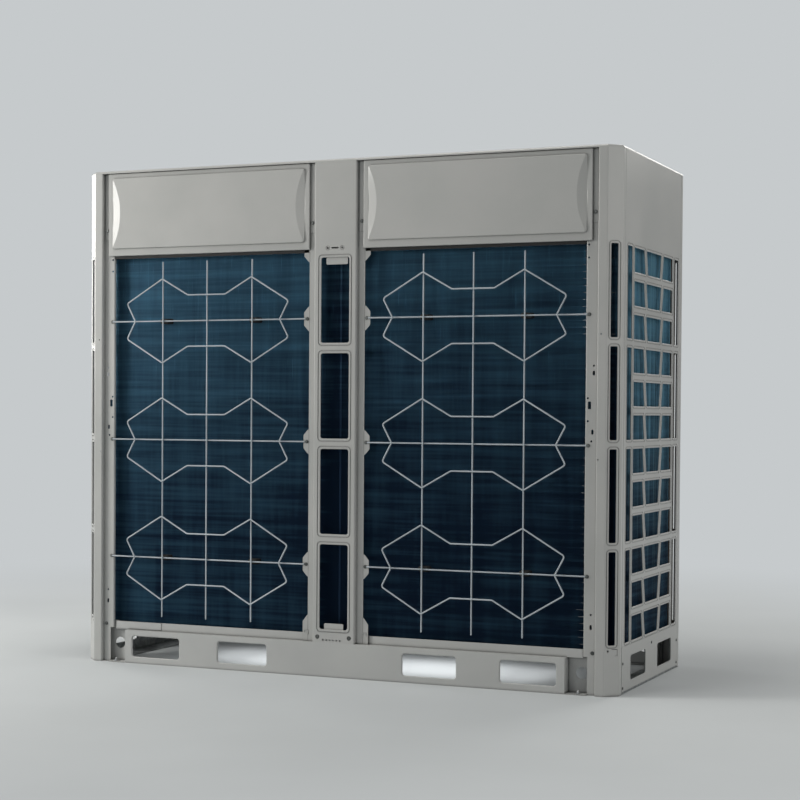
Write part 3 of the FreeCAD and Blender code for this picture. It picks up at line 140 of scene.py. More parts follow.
def shaded(tree, principled, place, dark, light, size, roughness, crease_shade=None):
    """Let the colour drift between two shades over patches of a real size, and the roughness with it.

    Where a shade colour for folds is given, the colour is darkened towards it in folds and pressed lines within 9 mm
    of another face: painted shade.
    """
    patches = noise(tree, place, size, 4.0)
    tint = blend(tree, ramp(tree, patches, 0.35, 0.65), dark, light)
    if crease_shade:
        # Painted shade: ambient occlusion darkens the colour where faces stand close
        open_share = node(tree, "ShaderNodeAmbientOcclusion", {"Distance": 9 * MM}, samples=6).outputs["AO"]
        tint = blend(tree, ramp(tree, open_share, 0.3, 0.92), crease_shade, tint)
    tree.links.new(tint, principled.inputs["Base Color"])
    tree.links.new(ramp(tree, patches, 0.3, 0.7, *roughness), principled.inputs["Roughness"])


def raised(tree, principled, height, depth, strength):
    """Relief of a depth in millimetres where the height is 1."""
    relief = node(tree, "ShaderNodeBump", {"Strength": strength, "Distance": depth * MM, "Height": height})
    tree.links.new(relief.outputs["Normal"], principled.inputs["Normal"])


def worked(name, shades, patch, roughness, grain, depth, strength, crease_shade=None, **shader):
    """A finish with two shades in patches and a fine relief of a real grain size and depth."""
    made, tree, principled, place = finish_of(name, **shader)
    shaded(tree, principled, place, *shades, patch, roughness, crease_shade)
    raised(tree, principled, noise(tree, place, grain, 2.0), depth, strength)
    return made


def powder_coat(name, dark, light, roughness, peel=2.5, crease_shade=None):
    """Baked powder coat on steel sheet: matt, with a soft sheen that an orange peel breaks up.

    The real peel is about 1 mm; it is drawn coarser so that it shows.
    """
    return worked(name, (dark, light), 260, roughness, peel, 0.05, 0.35, crease_shade, IOR=1.5, Metallic=0.0)


def galvanised_sheet(name):
    """Hot-dip zinc on steel sheet: crystal spangle some 12 mm across, each flake its own grey and gloss."""
    made, tree, principled, place = finish_of(name, Metallic=1.0)
    spangle = node(tree, "ShaderNodeTexVoronoi", {"Vector": place, "Scale": 1 / (12 * MM)})
    grey = node(tree, "ShaderNodeSeparateColor", {0: spangle.outputs["Color"]}).outputs
    tree.links.new(blend(tree, grey[0], "#85898a", "#a9acac"), principled.inputs["Base Color"])
    tree.links.new(ramp(tree, grey[1], 0.0, 1.0, 0.32, 0.55), principled.inputs["Roughness"])
    raised(tree, principled, noise(tree, place, 3, 2.0), 0.02, 0.2)
    return made


def drawn_out(tree, place, size, detail):
    """Noise stretched to a real size in millimetres along X, Y and Z; a size of 0 leaves its axis out."""
    scale = [1 / (length * MM) if length else 0 for length in size]
    stretched = node(tree, "ShaderNodeMapping", {"Vector": place, "Scale": scale})
    streaks = node(tree, "ShaderNodeTexNoise", {"Vector": stretched.outputs[0], "Scale": 1.0, "Detail": detail})
    return streaks.outputs["Fac"]


def coated_fins(name):
    """Aluminium fin strip with a blue water-shedding film: dark blue metal, banded at every tube row.

    Combing leaves long low streaks, and fine bright streaks show higher up. Painted light and shade: paler towards
    the top, the left end and the runs behind the end lattices, with sheen patches and glints, and darker bends and
    inner ends. The ramps on X, Y and Z are in metres.
    """
    made, tree, principled, place = finish_of(name, Metallic=0.5, Roughness=0.42)
    x, y, z = node(tree, "ShaderNodeSeparateXYZ", {0: place}).outputs
    # Each band is one tube row; its shade is the row's own
    number = maths(tree, "FLOOR", maths(tree, "DIVIDE", z, TUBE_PITCH * MM))
    own = node(tree, "ShaderNodeTexWhiteNoise", {"W": number}, noise_dimensions="1D")
    shade = maths(tree, "MULTIPLY", own.outputs["Value"], 0.12)
    # Streaks, patches of painted sheen and uprights, each some (across, tall) millimetres
    for across, tall, strength in ((260, 9, 0.2), (420, 34, 0.14), (70, 900, 0.14), (12, 160, 0.1)):
        streaks = drawn_out(tree, place, (across, across, tall), 2.0)
        shade = maths(tree, "ADD", shade, ramp(tree, streaks, 0.36, 0.68, 0.0, strength))
    # Painted light: the film is drawn paler towards the top and darker towards the bottom
    shade = maths(tree, "ADD", shade, ramp(tree, z, 0.5, 1.4, -0.2, 0.22))
    # Painted light and shade: the runs behind the end lattices are drawn paler still, and the bends before them
    # darker with the posts' shade
    reach = maths(tree, "ABSOLUTE", x)
    end_run = ramp(tree, reach, 0.86, 0.9)
    past_bend = ramp(tree, y, -0.29, -0.22)
    bend = maths(tree, "MULTIPLY", maths(tree, "SUBTRACT", 1.0, past_bend), end_run)
    bend = maths(tree, "MULTIPLY", bend, ramp(tree, z, 1.0, 1.12, -0.32, -0.05))
    pale = maths(tree, "MULTIPLY", end_run, past_bend)
    pale = maths(tree, "MULTIPLY", pale, ramp(tree, z, 0.35, 1.3, 0.05, 1.0))
    # Painted glints: upright streaks about 16 mm across, drawn where light would catch them on the end runs
    upright = drawn_out(tree, place, (0, 16, 1200), 3.0)
    painted_glint = maths(tree, "MULTIPLY", ramp(tree, upright, 0.42, 0.7, 0.35, 1.5), pale)
    # Painted shade: the coils' inner ends are drawn darker where the centre post shades them
    inner = ramp(tree, reach, 0.03, 0.09, -0.3, 0.0)
    # Fine bright streaks show in the upper half, 5 mm across and up to 130 mm tall
    fine_streak_noise = drawn_out(tree, place, (5, 5, 130), 3.0)
    fine_bright_streaks = maths(tree, "MULTIPLY", ramp(tree, fine_streak_noise, 0.64, 0.76, 0.0, 0.7), ramp(tree, z, 0.7, 1.15))
    for share in (bend, painted_glint, inner, fine_bright_streaks):
        shade = maths(tree, "ADD", shade, share)
    # Painted light: the left end is drawn a little paler than the middle, on the side the light comes from
    shade = maths(tree, "ADD", shade, ramp(tree, x, -0.9, 0.3, 0.12, -0.06), use_clamp=True)
    # Painted glints: where they fall, the tint is drawn towards a pale whitish blue
    painted_glint_share = maths(tree, "MULTIPLY", painted_glint, 0.6, use_clamp=True)
    tint = blend(tree, painted_glint_share, blend(tree, shade, "#213f5f", "#7ab8d8"), "#a6d4dc")
    tree.links.new(tint, principled.inputs["Base Color"])
    return made


def moulded_plastic(name, dark, light, roughness, size=120, grain=1.2):
    """Injection-moulded plastic: a fine spark texture and slightly cloudy colour."""
    return worked(name, (dark, light), size, roughness, grain, 0.04, 0.3, IOR=1.46, Metallic=0.0)


def drawn_copper(name, dark, light, roughness):
    """Drawn copper pipe: warm metal dulled in patches where brazing and air have browned it."""
    return worked(name, (dark, light), 45, roughness, 4, 0.03, 0.2, Metallic=1.0)


def die_cast(name, dark, light):
    """Die-cast aluminium: a grey metal skin, matt and faintly pebbled from the mould."""
    return worked(name, (dark, light), 40, (0.45, 0.6), 2, 0.06, 0.4, Metallic=1.0)


def turned_metal(name, dark, light, roughness):
    """Machined bar: a bright metal with the faint rings of the lathe, drawn 3.8 mm apart so that they show."""
    made, tree, principled, place = finish_of(name, Metallic=1.0)
    shaded(tree, principled, place, dark, light, 30, roughness)
    # The wave's phase grows by 20 times its scale per metre, so one ring takes up 0.6 mm times tau
    rings = node(tree, "ShaderNodeTexWave", {"Vector": place, "Scale": 1 / (0.6 * MM) / 20, "Distortion": 0.4},
                 bands_direction="Z")
    raised(tree, principled, rings.outputs["Fac"], 0.02, 0.15)
    return made


FINISHES = {
    # The cabinet and base coats get painted shade in their folds and pressed lines
    "cabinet_coat": powder_coat("powder_coated_cabinet_steel", "#adaeac", "#b4b4b2", (0.3, 0.4),
                                crease_shade="#4a4a47"),
    "rail_coat": powder_coat("powder_coated_base_steel", "#b0b1b0", "#b8b9b7", (0.4, 0.52),
                             crease_shade="#4a4a47"),
    "zinc_sheet": galvanised_sheet("galvanised_steel_sheet"),
    "fin_aluminium": coated_fins("blue_filmed_aluminium_fins"),
    "wire_coat": powder_coat("powder_coated_steel_wire", "#a3abb1", "#b4bcc2", (0.35, 0.45), 1.5),
    "guard_coat": powder_coat("powder_coated_guard_wire", "#aeafac", "#b9bab6", (0.4, 0.5), 1.5),
    "black_rubber": moulded_plastic("moulded_black_rubber", "#161616", "#232323", (0.6, 0.8), 20, 0.8),
    "fan_plastic": moulded_plastic("moulded_glass_filled_fan", "#414244", "#4b4c4e", (0.4, 0.55)),
    "motor_case": die_cast("die_cast_motor_aluminium", "#93969a", "#a0a2a4"),
    "shaft_steel": turned_metal("turned_steel_shaft", "#a5a8aa", "#c9cbcc", (0.2, 0.35)),
    "vessel_black": powder_coat("stove_enamelled_vessel_steel", "#16171a", "#222428", (0.3, 0.45), 3.0),
    "copper_tube": drawn_copper("drawn_copper_pipe", "#6a4a35", "#a5755a", (0.3, 0.5)),
    "brass_body": turned_metal("forged_and_turned_brass", "#a9874a", "#c8a768", (0.25, 0.4)),
    "screw_coat": turned_metal("passivated_screw_steel", "#5f6261", "#777a79", (0.35, 0.5)),
}


for row in frame["record"]["subparts"]:
    for held in frame["nodes"][row["node"]].material_slots:
        held.material = FINISHES[row["material_slot"]]


# The coils' end plates take the fins' finish and the headers a copper browned by brazing; both are drawn dark,
# partly as painted shade where they lie behind the posts
BROWNED_AND_SHADED = drawn_copper("flame_browned_header_copper", "#2a231d", "#43382d", (0.6, 0.75))
for name, finish in (("coil_end_plates", FINISHES["fin_aluminium"]), ("coil_headers", BROWNED_AND_SHADED)):
    for held in frame["nodes"][name].material_slots:
        held.material = finish


# ---- Ways of making pieces


def shown(name, mesh, slot, body="cabinet", replaces=(), sharp=35):
    """A finished piece: smooth inside its bends, crisp past the given angle, riding on its body."""
    mesh.polygons.foreach_set("use_smooth", [True] * len(mesh.polygons))
    mesh.set_sharp_from_angle(angle=math.radians(sharp))
    piece = bpy.data.objects.new(name, mesh)
    scene.collection.objects.link(piece)
    mesh.materials.clear()
    mesh.materials.append(FINISHES[slot])
    even = piece.modifiers.new("even_flats", "WEIGHTED_NORMAL")
    even.keep_sharp = True
    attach(piece, body)
    if replaces:
        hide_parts(*replaces)


def meshed(name, corners, faces):
    """A mesh from corners in millimetres."""
    mesh = bpy.data.meshes.new(name)
    mesh.from_pydata([mm(*corner) for corner in corners], [], faces)
    shell = bmesh.new()
    shell.from_mesh(mesh)
    bmesh.ops.remove_doubles(shell, verts=shell.verts, dist=1e-6)
    bmesh.ops.recalc_face_normals(shell, faces=shell.faces)
    shell.to_mesh(mesh)
    shell.free()
    return mesh


def merged(name, meshes):
    """One mesh from several, with their materials left to the caller."""
    whole = bmesh.new()
    for mesh in meshes:
        whole.from_mesh(mesh)
    mesh = bpy.data.meshes.new(name)
    whole.to_mesh(mesh)
    whole.free()
    return mesh


def rounded(corners, radius, steps=5, closed=True):
    """The corners of a line with an arc in place of each turn."""
    made = []
    count = len(corners)
    for i, corner in enumerate(corners):
        here = Vector(corner)
        if not closed and i in (0, count - 1):
            made.append(tuple(here))
            continue
        before = Vector(corners[i - 1]) - here
        after = Vector(corners[(i + 1) % count]) - here
        turn = before.angle(after)
        if turn > math.radians(179):
            continue
        reach = min(radius / math.tan(turn / 2), before.length * 0.49, after.length * 0.49)
        bend = reach * math.tan(turn / 2)
        centre = here + (before.normalized() + after.normalized()).normalized() * (bend / math.sin(turn / 2))
        start, end = here + before.normalized() * reach - centre, here + after.normalized() * reach - centre
        for step in range(steps + 1):
            swing = start.lerp(end, step / steps).normalized() * bend
            made.append(tuple(centre + swing))
    return made


def box_corners(x, z):
    """The four corners of a rectangle between two places across and two levels."""
    return [(x[0], z[0]), (x[1], z[0]), (x[1], z[1]), (x[0], z[1])]


def round_hole(x, z, radius, sides=16):
    """A ring of points."""
    return [(x + radius * math.cos(math.tau * i / sides), z + radius * math.sin(math.tau * i / sides))
            for i in range(sides)]


def slot_hole(x, z, half_x, half_z):
    """A slot with round ends."""
    radius = min(half_x, half_z)
    return rounded(box_corners((x - half_x, x + half_x), (z - half_z, z + half_z)), radius * 0.98, 5)


def upright_at(y, way=1):
    """Places on an upright sheet with its face at y; its levels run rearwards for way 1, forwards for -1."""
    return lambda u, v, level: (u, y + way * level, v)


def flat(u, v, level):
    """A place in plan at its level."""
    return u, v, level


def walls(start, count):
    """The quads between two rings of count corners, the second right after the first."""
    return [(start + i, start + (i + 1) % count, start + count + (i + 1) % count, start + count + i)
            for i in range(count)]


def pushed(name, loops, place, low, high):
    """Prisms on closed outlines, from level low to level high; place turns (u, v, level) into (x, y, z)."""
    corners, faces = [], []
    for loop in loops:
        start, count = len(corners), len(loop)
        corners += [place(u, v, level) for level in (low, high) for u, v in loop]
        faces.append([start + i for i in range(count)])
        faces.append([start + count + i for i in range(count)][::-1])
        faces += walls(start, count)
    return meshed(name, corners, faces)


def widened(outline, reach):
    """A four-cornered outline with every corner moved outwards by reach, across and up or down."""
    middle_u, middle_v = (sum(axis) / len(outline) for axis in zip(*outline))
    return [(u + math.copysign(reach, u - middle_u), v + math.copysign(reach, v - middle_v)) for u, v in outline]


def channels(name, outlines, place, near, width, depth):
    """Cutters for pressed lines that run round each outline, near to near + width outside it."""
    corners, faces = [], []
    for outline in outlines:
        loops = [rounded(widened(outline, reach), 5 + reach, 5) for reach in (near, near + width)]
        start, count = len(corners), len(loops[0])
        corners += [place(u, v, level) for level in (-1, depth) for loop in loops for u, v in loop]
        for i in range(count):
            j = (i + 1) % count
            for here, there in ((0, 1), (1, 3), (3, 2), (2, 0)):
                faces.append((start + here * count + i, start + here * count + j, start + there * count + j,
                              start + there * count + i))
    return meshed(name, corners, faces)


def bent_sheet(name, route, thick, base, top, bend=2.5, inward=1):
    """Sheet folded along a route in plan and standing from base to top; route is its outer line."""
    line = [Vector(corner) for corner in route]
    middle = []
    for i, here in enumerate(line):
        sides = []
        if i:
            sides.append((here - line[i - 1]).normalized())
        if i < len(line) - 1:
            sides.append((line[i + 1] - here).normalized())
        normals = [Vector((-s.y, s.x)) * inward for s in sides]
        mean = sum(normals, Vector((0, 0))).normalized()
        middle.append(tuple(here + mean * (thick / 2 / max(0.3, mean.dot(normals[0])))))
    curve = [Vector(point) for point in rounded(middle, bend, 4, False)]
    left, right = [], []
    for i, here in enumerate(curve):
        along = (curve[min(i + 1, len(curve) - 1)] - curve[max(i - 1, 0)]).normalized()
        across = Vector((-along.y, along.x)) * thick / 2
        left.append(here + across)
        right.append(here - across)
    section = [tuple(point) for point in left + right[::-1]]
    count = len(section)
    faces = walls(0, count)
    for i in range(len(left) - 1):
        quad = (i, i + 1, count - 2 - i, count - 1 - i)
        faces.append(quad)
        faces.append(tuple(count + k for k in quad)[::-1])
    return meshed(name, [(x, y, z) for z in (base, top) for x, y in section], faces)


def pierced(mesh, cutter):
    """The mesh with the cutter's prisms taken out of it."""
    sheet, tool = (bpy.data.objects.new(part.name, part) for part in (mesh, cutter))
    for part in (sheet, tool):
        scene.collection.objects.link(part)
    cutting = sheet.modifiers.new("holes", "BOOLEAN")
    cutting.object = tool
    cutting.solver = "EXACT"
    made = bpy.data.meshes.new_from_object(sheet.evaluated_get(bpy.context.evaluated_depsgraph_get()))
    for part in (sheet, tool):
        bpy.data.objects.remove(part)
    return made


def lofted(name, rings):
    """A closed solid through rings of equally many corners."""
    count = len(rings[0])
    faces = [list(range(count)), [(len(rings) - 1) * count + i for i in range(count)][::-1]]
    for ring in range(len(rings) - 1):
        faces += walls(ring * count, count)
    return meshed(name, [corner for ring in rings for corner in ring], faces)


def turned_round(name, profile, centre, steps=64, closed=False):
    """A profile of (radius, z) swung round an upright axis at centre; a radius of 0 closes at one point."""
    corners, faces, rings = [], [], []
    for radius, z in profile:
        if radius == 0:
            rings.append([len(corners)] * steps)
            corners.append((centre[0], centre[1], z))
            continue
        rings.append(list(range(len(corners), len(corners) + steps)))
        corners += [(centre[0] + radius * math.cos(math.tau * i / steps),
                     centre[1] + radius * math.sin(math.tau * i / steps), z) for i in range(steps)]
    pairs = list(zip(rings, rings[1:]))
    if closed:
        pairs.append((rings[-1], rings[0]))
    for lower, upper in pairs:
        for i in range(steps):
            j = (i + 1) % steps
            face = [lower[i], lower[j], upper[j], upper[i]]
            faces.append(list(dict.fromkeys(face)))
    return meshed(name, corners, [face for face in faces if len(face) > 2])


def mirrored_mesh(mesh, x=1, y=1):
    """The mirror image of a mesh, with its faces still pointing outwards."""
    image = mesh.copy()
    image.transform(Matrix.Diagonal((x, y, 1, 1)))
    if x * y < 0:
        image.flip_normals()
    return image


# ---- Node trees for what repeats or follows a line


def grower(name, *numbers, counts=()):
    """An empty tree with a base, numbers in metres, counts and a finish going in; returns it and its sockets."""
    tree = bpy.data.node_groups.new(name, "GeometryNodeTree")
    labels = [("Base", "Geometry"), *((label, "Float") for label in numbers), *((label, "Int") for label in counts),
              ("Finish", "Material")]
    for label, kind in labels:
        tree.interface.new_socket(name=label, in_out="INPUT", socket_type=f"NodeSocket{kind}")
    tree.interface.new_socket(name="Piece", in_out="OUTPUT", socket_type="NodeSocketGeometry")
    return tree, node(tree, "NodeGroupInput").outputs


def closes(tree, geometry, finish):
    """End a tree: instances made real, finish set."""
    real = node(tree, "GeometryNodeRealizeInstances", {0: geometry})
    coated = node(tree, "GeometryNodeSetMaterial", {"Geometry": real.outputs[0], "Material": finish})
    node(tree, "NodeGroupOutput", {0: coated.outputs[0]})
    return tree


def bent_base(tree, given, steps):
    """The base's lines as curves, with an arc at each corner."""
    line = node(tree, "GeometryNodeMeshToCurve", {0: given["Base"]})
    arcs = {"Curve": line.outputs[0], "Radius": given["Bend radius"], "Limit Radius": True, "Count": steps}
    return node(tree, "GeometryNodeFilletCurve", arcs, mode="POLY").outputs[0]


def tube_along(tree, curve, sides, radius):
    """Round bar along a curve."""
    ring = node(tree, "GeometryNodeCurvePrimitiveCircle", {"Resolution": sides, "Radius": radius})
    swept = {"Curve": curve, "Profile Curve": ring.outputs[0], "Fill Caps": True}
    return node(tree, "GeometryNodeCurveToMesh", swept).outputs[0]


def placed(tree, points, piece, turn=None):
    """The piece on every point, turned where a turn is given."""
    inputs = {"Points": points, "Instance": piece} | ({"Rotation": turn.outputs[0]} if turn else {})
    return node(tree, "GeometryNodeInstanceOnPoints", inputs).outputs[0]


def line_bar_tree():
    """Round bar that follows every line of the base, bent to a radius at its corners."""
    tree, given = grower("bar_along_lines", "Bar radius", "Bend radius", counts=("Sides", "Bend steps"))
    bar = tube_along(tree, bent_base(tree, given, given["Bend steps"]), given["Sides"], given["Bar radius"])
    return closes(tree, bar, given["Finish"])


def fin_tree():
    """Thin upright fins set at a pitch along the bent line of a coil, square to it."""
    tree, given = grower("fins_along_coil", "Pitch", "Thickness", "Depth", "Height", "Bend radius")
    line = {"Curve": bent_base(tree, given, 16), "Length": given["Pitch"]}
    spread = node(tree, "GeometryNodeResampleCurve", line, mode="LENGTH")
    size = node(tree, "ShaderNodeCombineXYZ", {0: given["Thickness"], 1: given["Depth"], 2: given["Height"]})
    fin = node(tree, "GeometryNodeMeshCube", {"Size": size.outputs[0]})
    along = node(tree, "GeometryNodeInputTangent")
    turn = node(tree, "FunctionNodeAlignRotationToVector", {"Vector": along.outputs[0]}, axis="X", pivot_axis="Z")
    return closes(tree, placed(tree, spread.outputs[0], fin.outputs[0], turn), given["Finish"])


def stacked_bar_tree():
    """Copies of a bent line stacked at a pitch, each made a round tube."""
    tree, given = grower("tube_rows", "Pitch", "Bar radius", "Bend radius", counts=("Rows",))
    lift = node(tree, "ShaderNodeCombineXYZ", {2: given["Pitch"]})
    levels = node(tree, "GeometryNodeMeshLine", {"Count": given["Rows"], "Offset": lift.outputs[0]})
    rows = placed(tree, levels.outputs[0], bent_base(tree, given, 8))
    real = node(tree, "GeometryNodeRealizeInstances", {0: rows})
    return closes(tree, tube_along(tree, real.outputs[0], 6, given["Bar radius"]), given["Finish"])


def screw_tree():
    """Flange-head hexagon screws on the base's points, each facing along its point's own facing."""
    tree, given = grower("screws_on_spots", "Head radius", "Head height", "Flange radius", "Flange height")
    screw = node(tree, "GeometryNodeJoinGeometry")
    for part, sides, taper in (("Flange", 16, 0.88), ("Head", 6, 0.93)):
        radius = given[f"{part} radius"]
        cone = node(tree, "GeometryNodeMeshCone", {
            "Vertices": sides, "Radius Top": maths(tree, "MULTIPLY", radius, taper), "Radius Bottom": radius,
            "Depth": given[f"{part} height"]})
        tree.links.new(cone.outputs[0], screw.inputs[0])
    facing = node(tree, "GeometryNodeInputNamedAttribute", {"Name": "facing"}, data_type="FLOAT_VECTOR")
    turn = node(tree, "FunctionNodeAlignRotationToVector", {"Vector": facing.outputs[0]}, axis="Z")
    return closes(tree, placed(tree, given["Base"], screw.outputs[0], turn), given["Finish"])


LINE_BAR, FINS, TUBE_ROWS, SCREWS = line_bar_tree(), fin_tree(), stacked_bar_tree(), screw_tree()


def grown(name, tree, base, slot, **sizes):
    """The plain mesh that a tree grows from base; sizes are the tree's inputs by name, in millimetres or counts."""
    carrier = bpy.data.objects.new(name, base)
    scene.collection.objects.link(carrier)
    growing = carrier.modifiers.new(name, "NODES")
    growing.node_group = tree
    for item in tree.interface.items_tree:
        label = item.name.replace(" ", "_").lower()
        if label in sizes:
            length = item.socket_type == "NodeSocketFloat"
            growing[item.identifier] = sizes[label] * MM if length else sizes[label]
        elif label == "finish":
            growing[item.identifier] = FINISHES[slot]
    made = bpy.data.meshes.new_from_object(carrier.evaluated_get(bpy.context.evaluated_depsgraph_get()))
    carrier.modifiers.clear()
    bpy.data.objects.remove(carrier)
    made.name = name
    return made


def lines(name, routes):
    """A mesh of edges only: each route is (points, closed)."""
    corners, edges = [], []
    for points, closed in routes:
        start = len(corners)
        corners += [mm(*point) for point in points]
        edges += [(start + i, start + i + 1) for i in range(len(points) - 1)]
        if closed:
            edges.append((len(corners) - 1, start))
    mesh = bpy.data.meshes.new(name)
    mesh.from_pydata(corners, edges, [])
    return mesh


def spots(name, places):
    """A mesh of loose points, each with its facing."""
    mesh = bpy.data.meshes.new(name)
    mesh.from_pydata([mm(*place) for place, _ in places], [], [])
    facing = mesh.attributes.new("facing", "FLOAT_VECTOR", "POINT")
    facing.data.foreach_set("vector", [part for _, way in places for part in way])
    return mesh


def bars(name, routes, radius, slot, bend=6, sides=10, steps=5, **shown_as):
    """A finished piece of round bar along the routes, bent to the given radius at their corners."""
    mesh = grown(name, LINE_BAR, lines(f"{name}_lines", routes), slot, bar_radius=radius, bend_radius=bend,
                 sides=sides, bend_steps=steps)
    shown(name, mesh, slot, sharp=50, **shown_as)


def rolled_rims(name, loops, radius, slot="cabinet_coat", sides=12):
    """A finished piece of rolled rims along closed loops whose corners are round already."""
    bars(name, [(loop, True) for loop in loops], radius, slot, bend=0.1, sides=sides, steps=1)


def four_ways(piece, mesh, replaced, **shown_as):
    """The mesh of the front right corner, there and mirrored to the other three corners."""
    for side, hand in HANDS[::-1]:
        for front, end in ((1, "front"), (-1, "rear")):
            shown(f"{piece}_{end}_{hand}", mirrored_mesh(mesh, side, front), "cabinet_coat",
                  replaces=[f"{replaced}_{end}_{hand}"], **shown_as)


# ---- Coils


def coils():
    """Two rows deep, bent once: fins at their pitch along the bend, and the tubes' collars between them."""
    half, slot = COIL_DEPTH / 2, "fin_aluminium"
    for side, hand in HANDS:
        low, high = (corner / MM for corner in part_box(f"coil_fins_{hand}"))
        inner = min(abs(low.x), abs(high.x))
        outer = max(abs(low.x), abs(high.x))

        def bent_line(inset, z):
            """The coil's line in plan, inset from its outer face."""
            plan = ((inner, low.y + inset), (outer - inset, low.y + inset), (outer - inset, high.y))
            return lines("coil_line", [([(side * x, y, z) for x, y in plan], False)])

        mesh = grown(f"fins_{hand}", FINS, bent_line(half, (low.z + high.z) / 2), slot, pitch=FIN_PITCH,
                     thickness=FIN_SHEET, depth=COIL_DEPTH, height=high.z - low.z, bend_radius=COIL_BEND - half)
        shown(f"coil_fin_pack_{hand}", mesh, slot, replaces=[f"coil_fins_{hand}"])
        rows = int((high.z - low.z) // TUBE_PITCH)
        for number, inset in enumerate((half / 2, 3 * half / 2)):
            mesh = grown("tubes", TUBE_ROWS, bent_line(inset, low.z + TUBE_PITCH / 2), slot, rows=rows,
                         pitch=TUBE_PITCH, bar_radius=5.2, bend_radius=COIL_BEND - inset)
            shown(f"coil_fin_collars_{hand}_{number}", mesh, slot)


# ---- Wire guards


def bow_tie(centre, level, y):
    """One wire loop: two lobes pinched at the row wire."""
    quarter = [(272, 0), (304, 59.5), (168, 140), (70, 85)]
    upper = quarter + [(-x, z) for x, z in quarter[::-1]]
    loop = upper + [(x, -z) for x, z in upper[1:-1]][::-1]
    return [(centre + x, y, level + z) for x, z in loop]


def wire_guards():
    """Welded wire: rows on the post flanges, uprights on the rows, a loop on each row."""
    for side, hand in HANDS:
        centre = side * GUARD_X
        rows = [([(side * 111, ROW_Y, z), (side * 837, ROW_Y, z)], False) for z in WIRE_ROWS]
        uprights = [([(centre + x, UPRIGHT_Y, 162), (centre + x, UPRIGHT_Y, 1349.5)], False) for x in UPRIGHTS]
        loops = [(bow_tie(centre, z, LOOP_Y), True) for z in WIRE_ROWS]
        bars(f"guard_wires_{hand}", rows + uprights + loops, 2.5, "wire_coat", bend=9, sides=12,
             replaces=[f"wire_guard_{hand}"])


# ---- Posts and panels


def corner_posts():
    """Folded posts: coil flange, step, front lip, chamfer with rimmed slots, side lip and its return."""
    route = [(FLANGE_X, -FLANGE_Y + 8), (FLANGE_X, -FLANGE_Y), (STEP_X, -FLANGE_Y), (STEP_X, -HALF_DEPTH),
             (HALF_WIDTH - CORNER_CUT, -HALF_DEPTH), (HALF_WIDTH, -HALF_DEPTH + CORNER_CUT), (HALF_WIDTH, -SIDE_END),
             (HALF_WIDTH - 14, -SIDE_END)]
    whole = bent_sheet("post", route, POST_SHEET, 0, TOP_EDGE)
    lean = math.sqrt(0.5)

    def on_chamfer(u, v, level):
        """u runs along the chamfer from its front edge to its side edge, level is the depth below its face."""
        return (HALF_WIDTH - CORNER_CUT + u * lean - level * lean, -HALF_DEPTH + u * lean + level * lean, v)

    on_flange = upright_at(-FLANGE_Y)
    slots = [box_corners((13, 39), (z, z + SLOT_HEIGHT)) for z in BAY_BASES]
    holes = ((840, 1362), (840, 1323), (840, 899), (840, 830), (858, 997), (855, 244), (852, 769))
    flange = [round_hole(x, z, 3.2) for x, z in holes]
    flange += [slot_hole(x, z, 3.6, 7.5) for x, z in ((855, 797), (858, 975), (855, 206))]
    flange.append(rounded(box_corners((840, 850), (866, 889)), 2.5, 4))
    # Lanced bracket beside the small hole at the foot of the chamfer
    bracket = [(27, 143), (47, 143), (47, 122), (40, 122), (40, 123.6), (45.4, 123.6), (45.4, 141.4), (27, 141.4)]
    cutter = merged("post_tools", [
        pushed("slots", [rounded(slot, 5) for slot in slots], on_chamfer, -5, 8),
        channels("slot_lines", slots, on_chamfer, 4.6, 3.4, 1.7),
        pushed("flange_holes", flange, on_flange, -4, 6),
        pushed("small_marks", [round_hole(14, 137, 3.4), bracket], on_chamfer, -5, 8),
        pushed("lip_dimple", [slot_hole(884, 1092, 1.6, 3), slot_hole(878, 714, 1.6, 3)],
               upright_at(-HALF_DEPTH), -4, 6),
        pushed("notch", [box_corners((FLANGE_X - 2, FLANGE_X + 13), (-1, 116))], on_flange, -4, 30),
    ])
    four_ways("corner_post_sheet", pierced(whole, cutter), "corner_post")
    edges = [[on_chamfer(u, v, 1.4) for u, v in rounded(widened(slot, 0.8), 5.8)] for slot in slots]
    rolled_rims("corner_slot_rims", [[(side * x, -front * y, z) for x, y, z in edge]
                                     for side in (-1, 1) for front in (-1, 1) for edge in edges], 2.0)


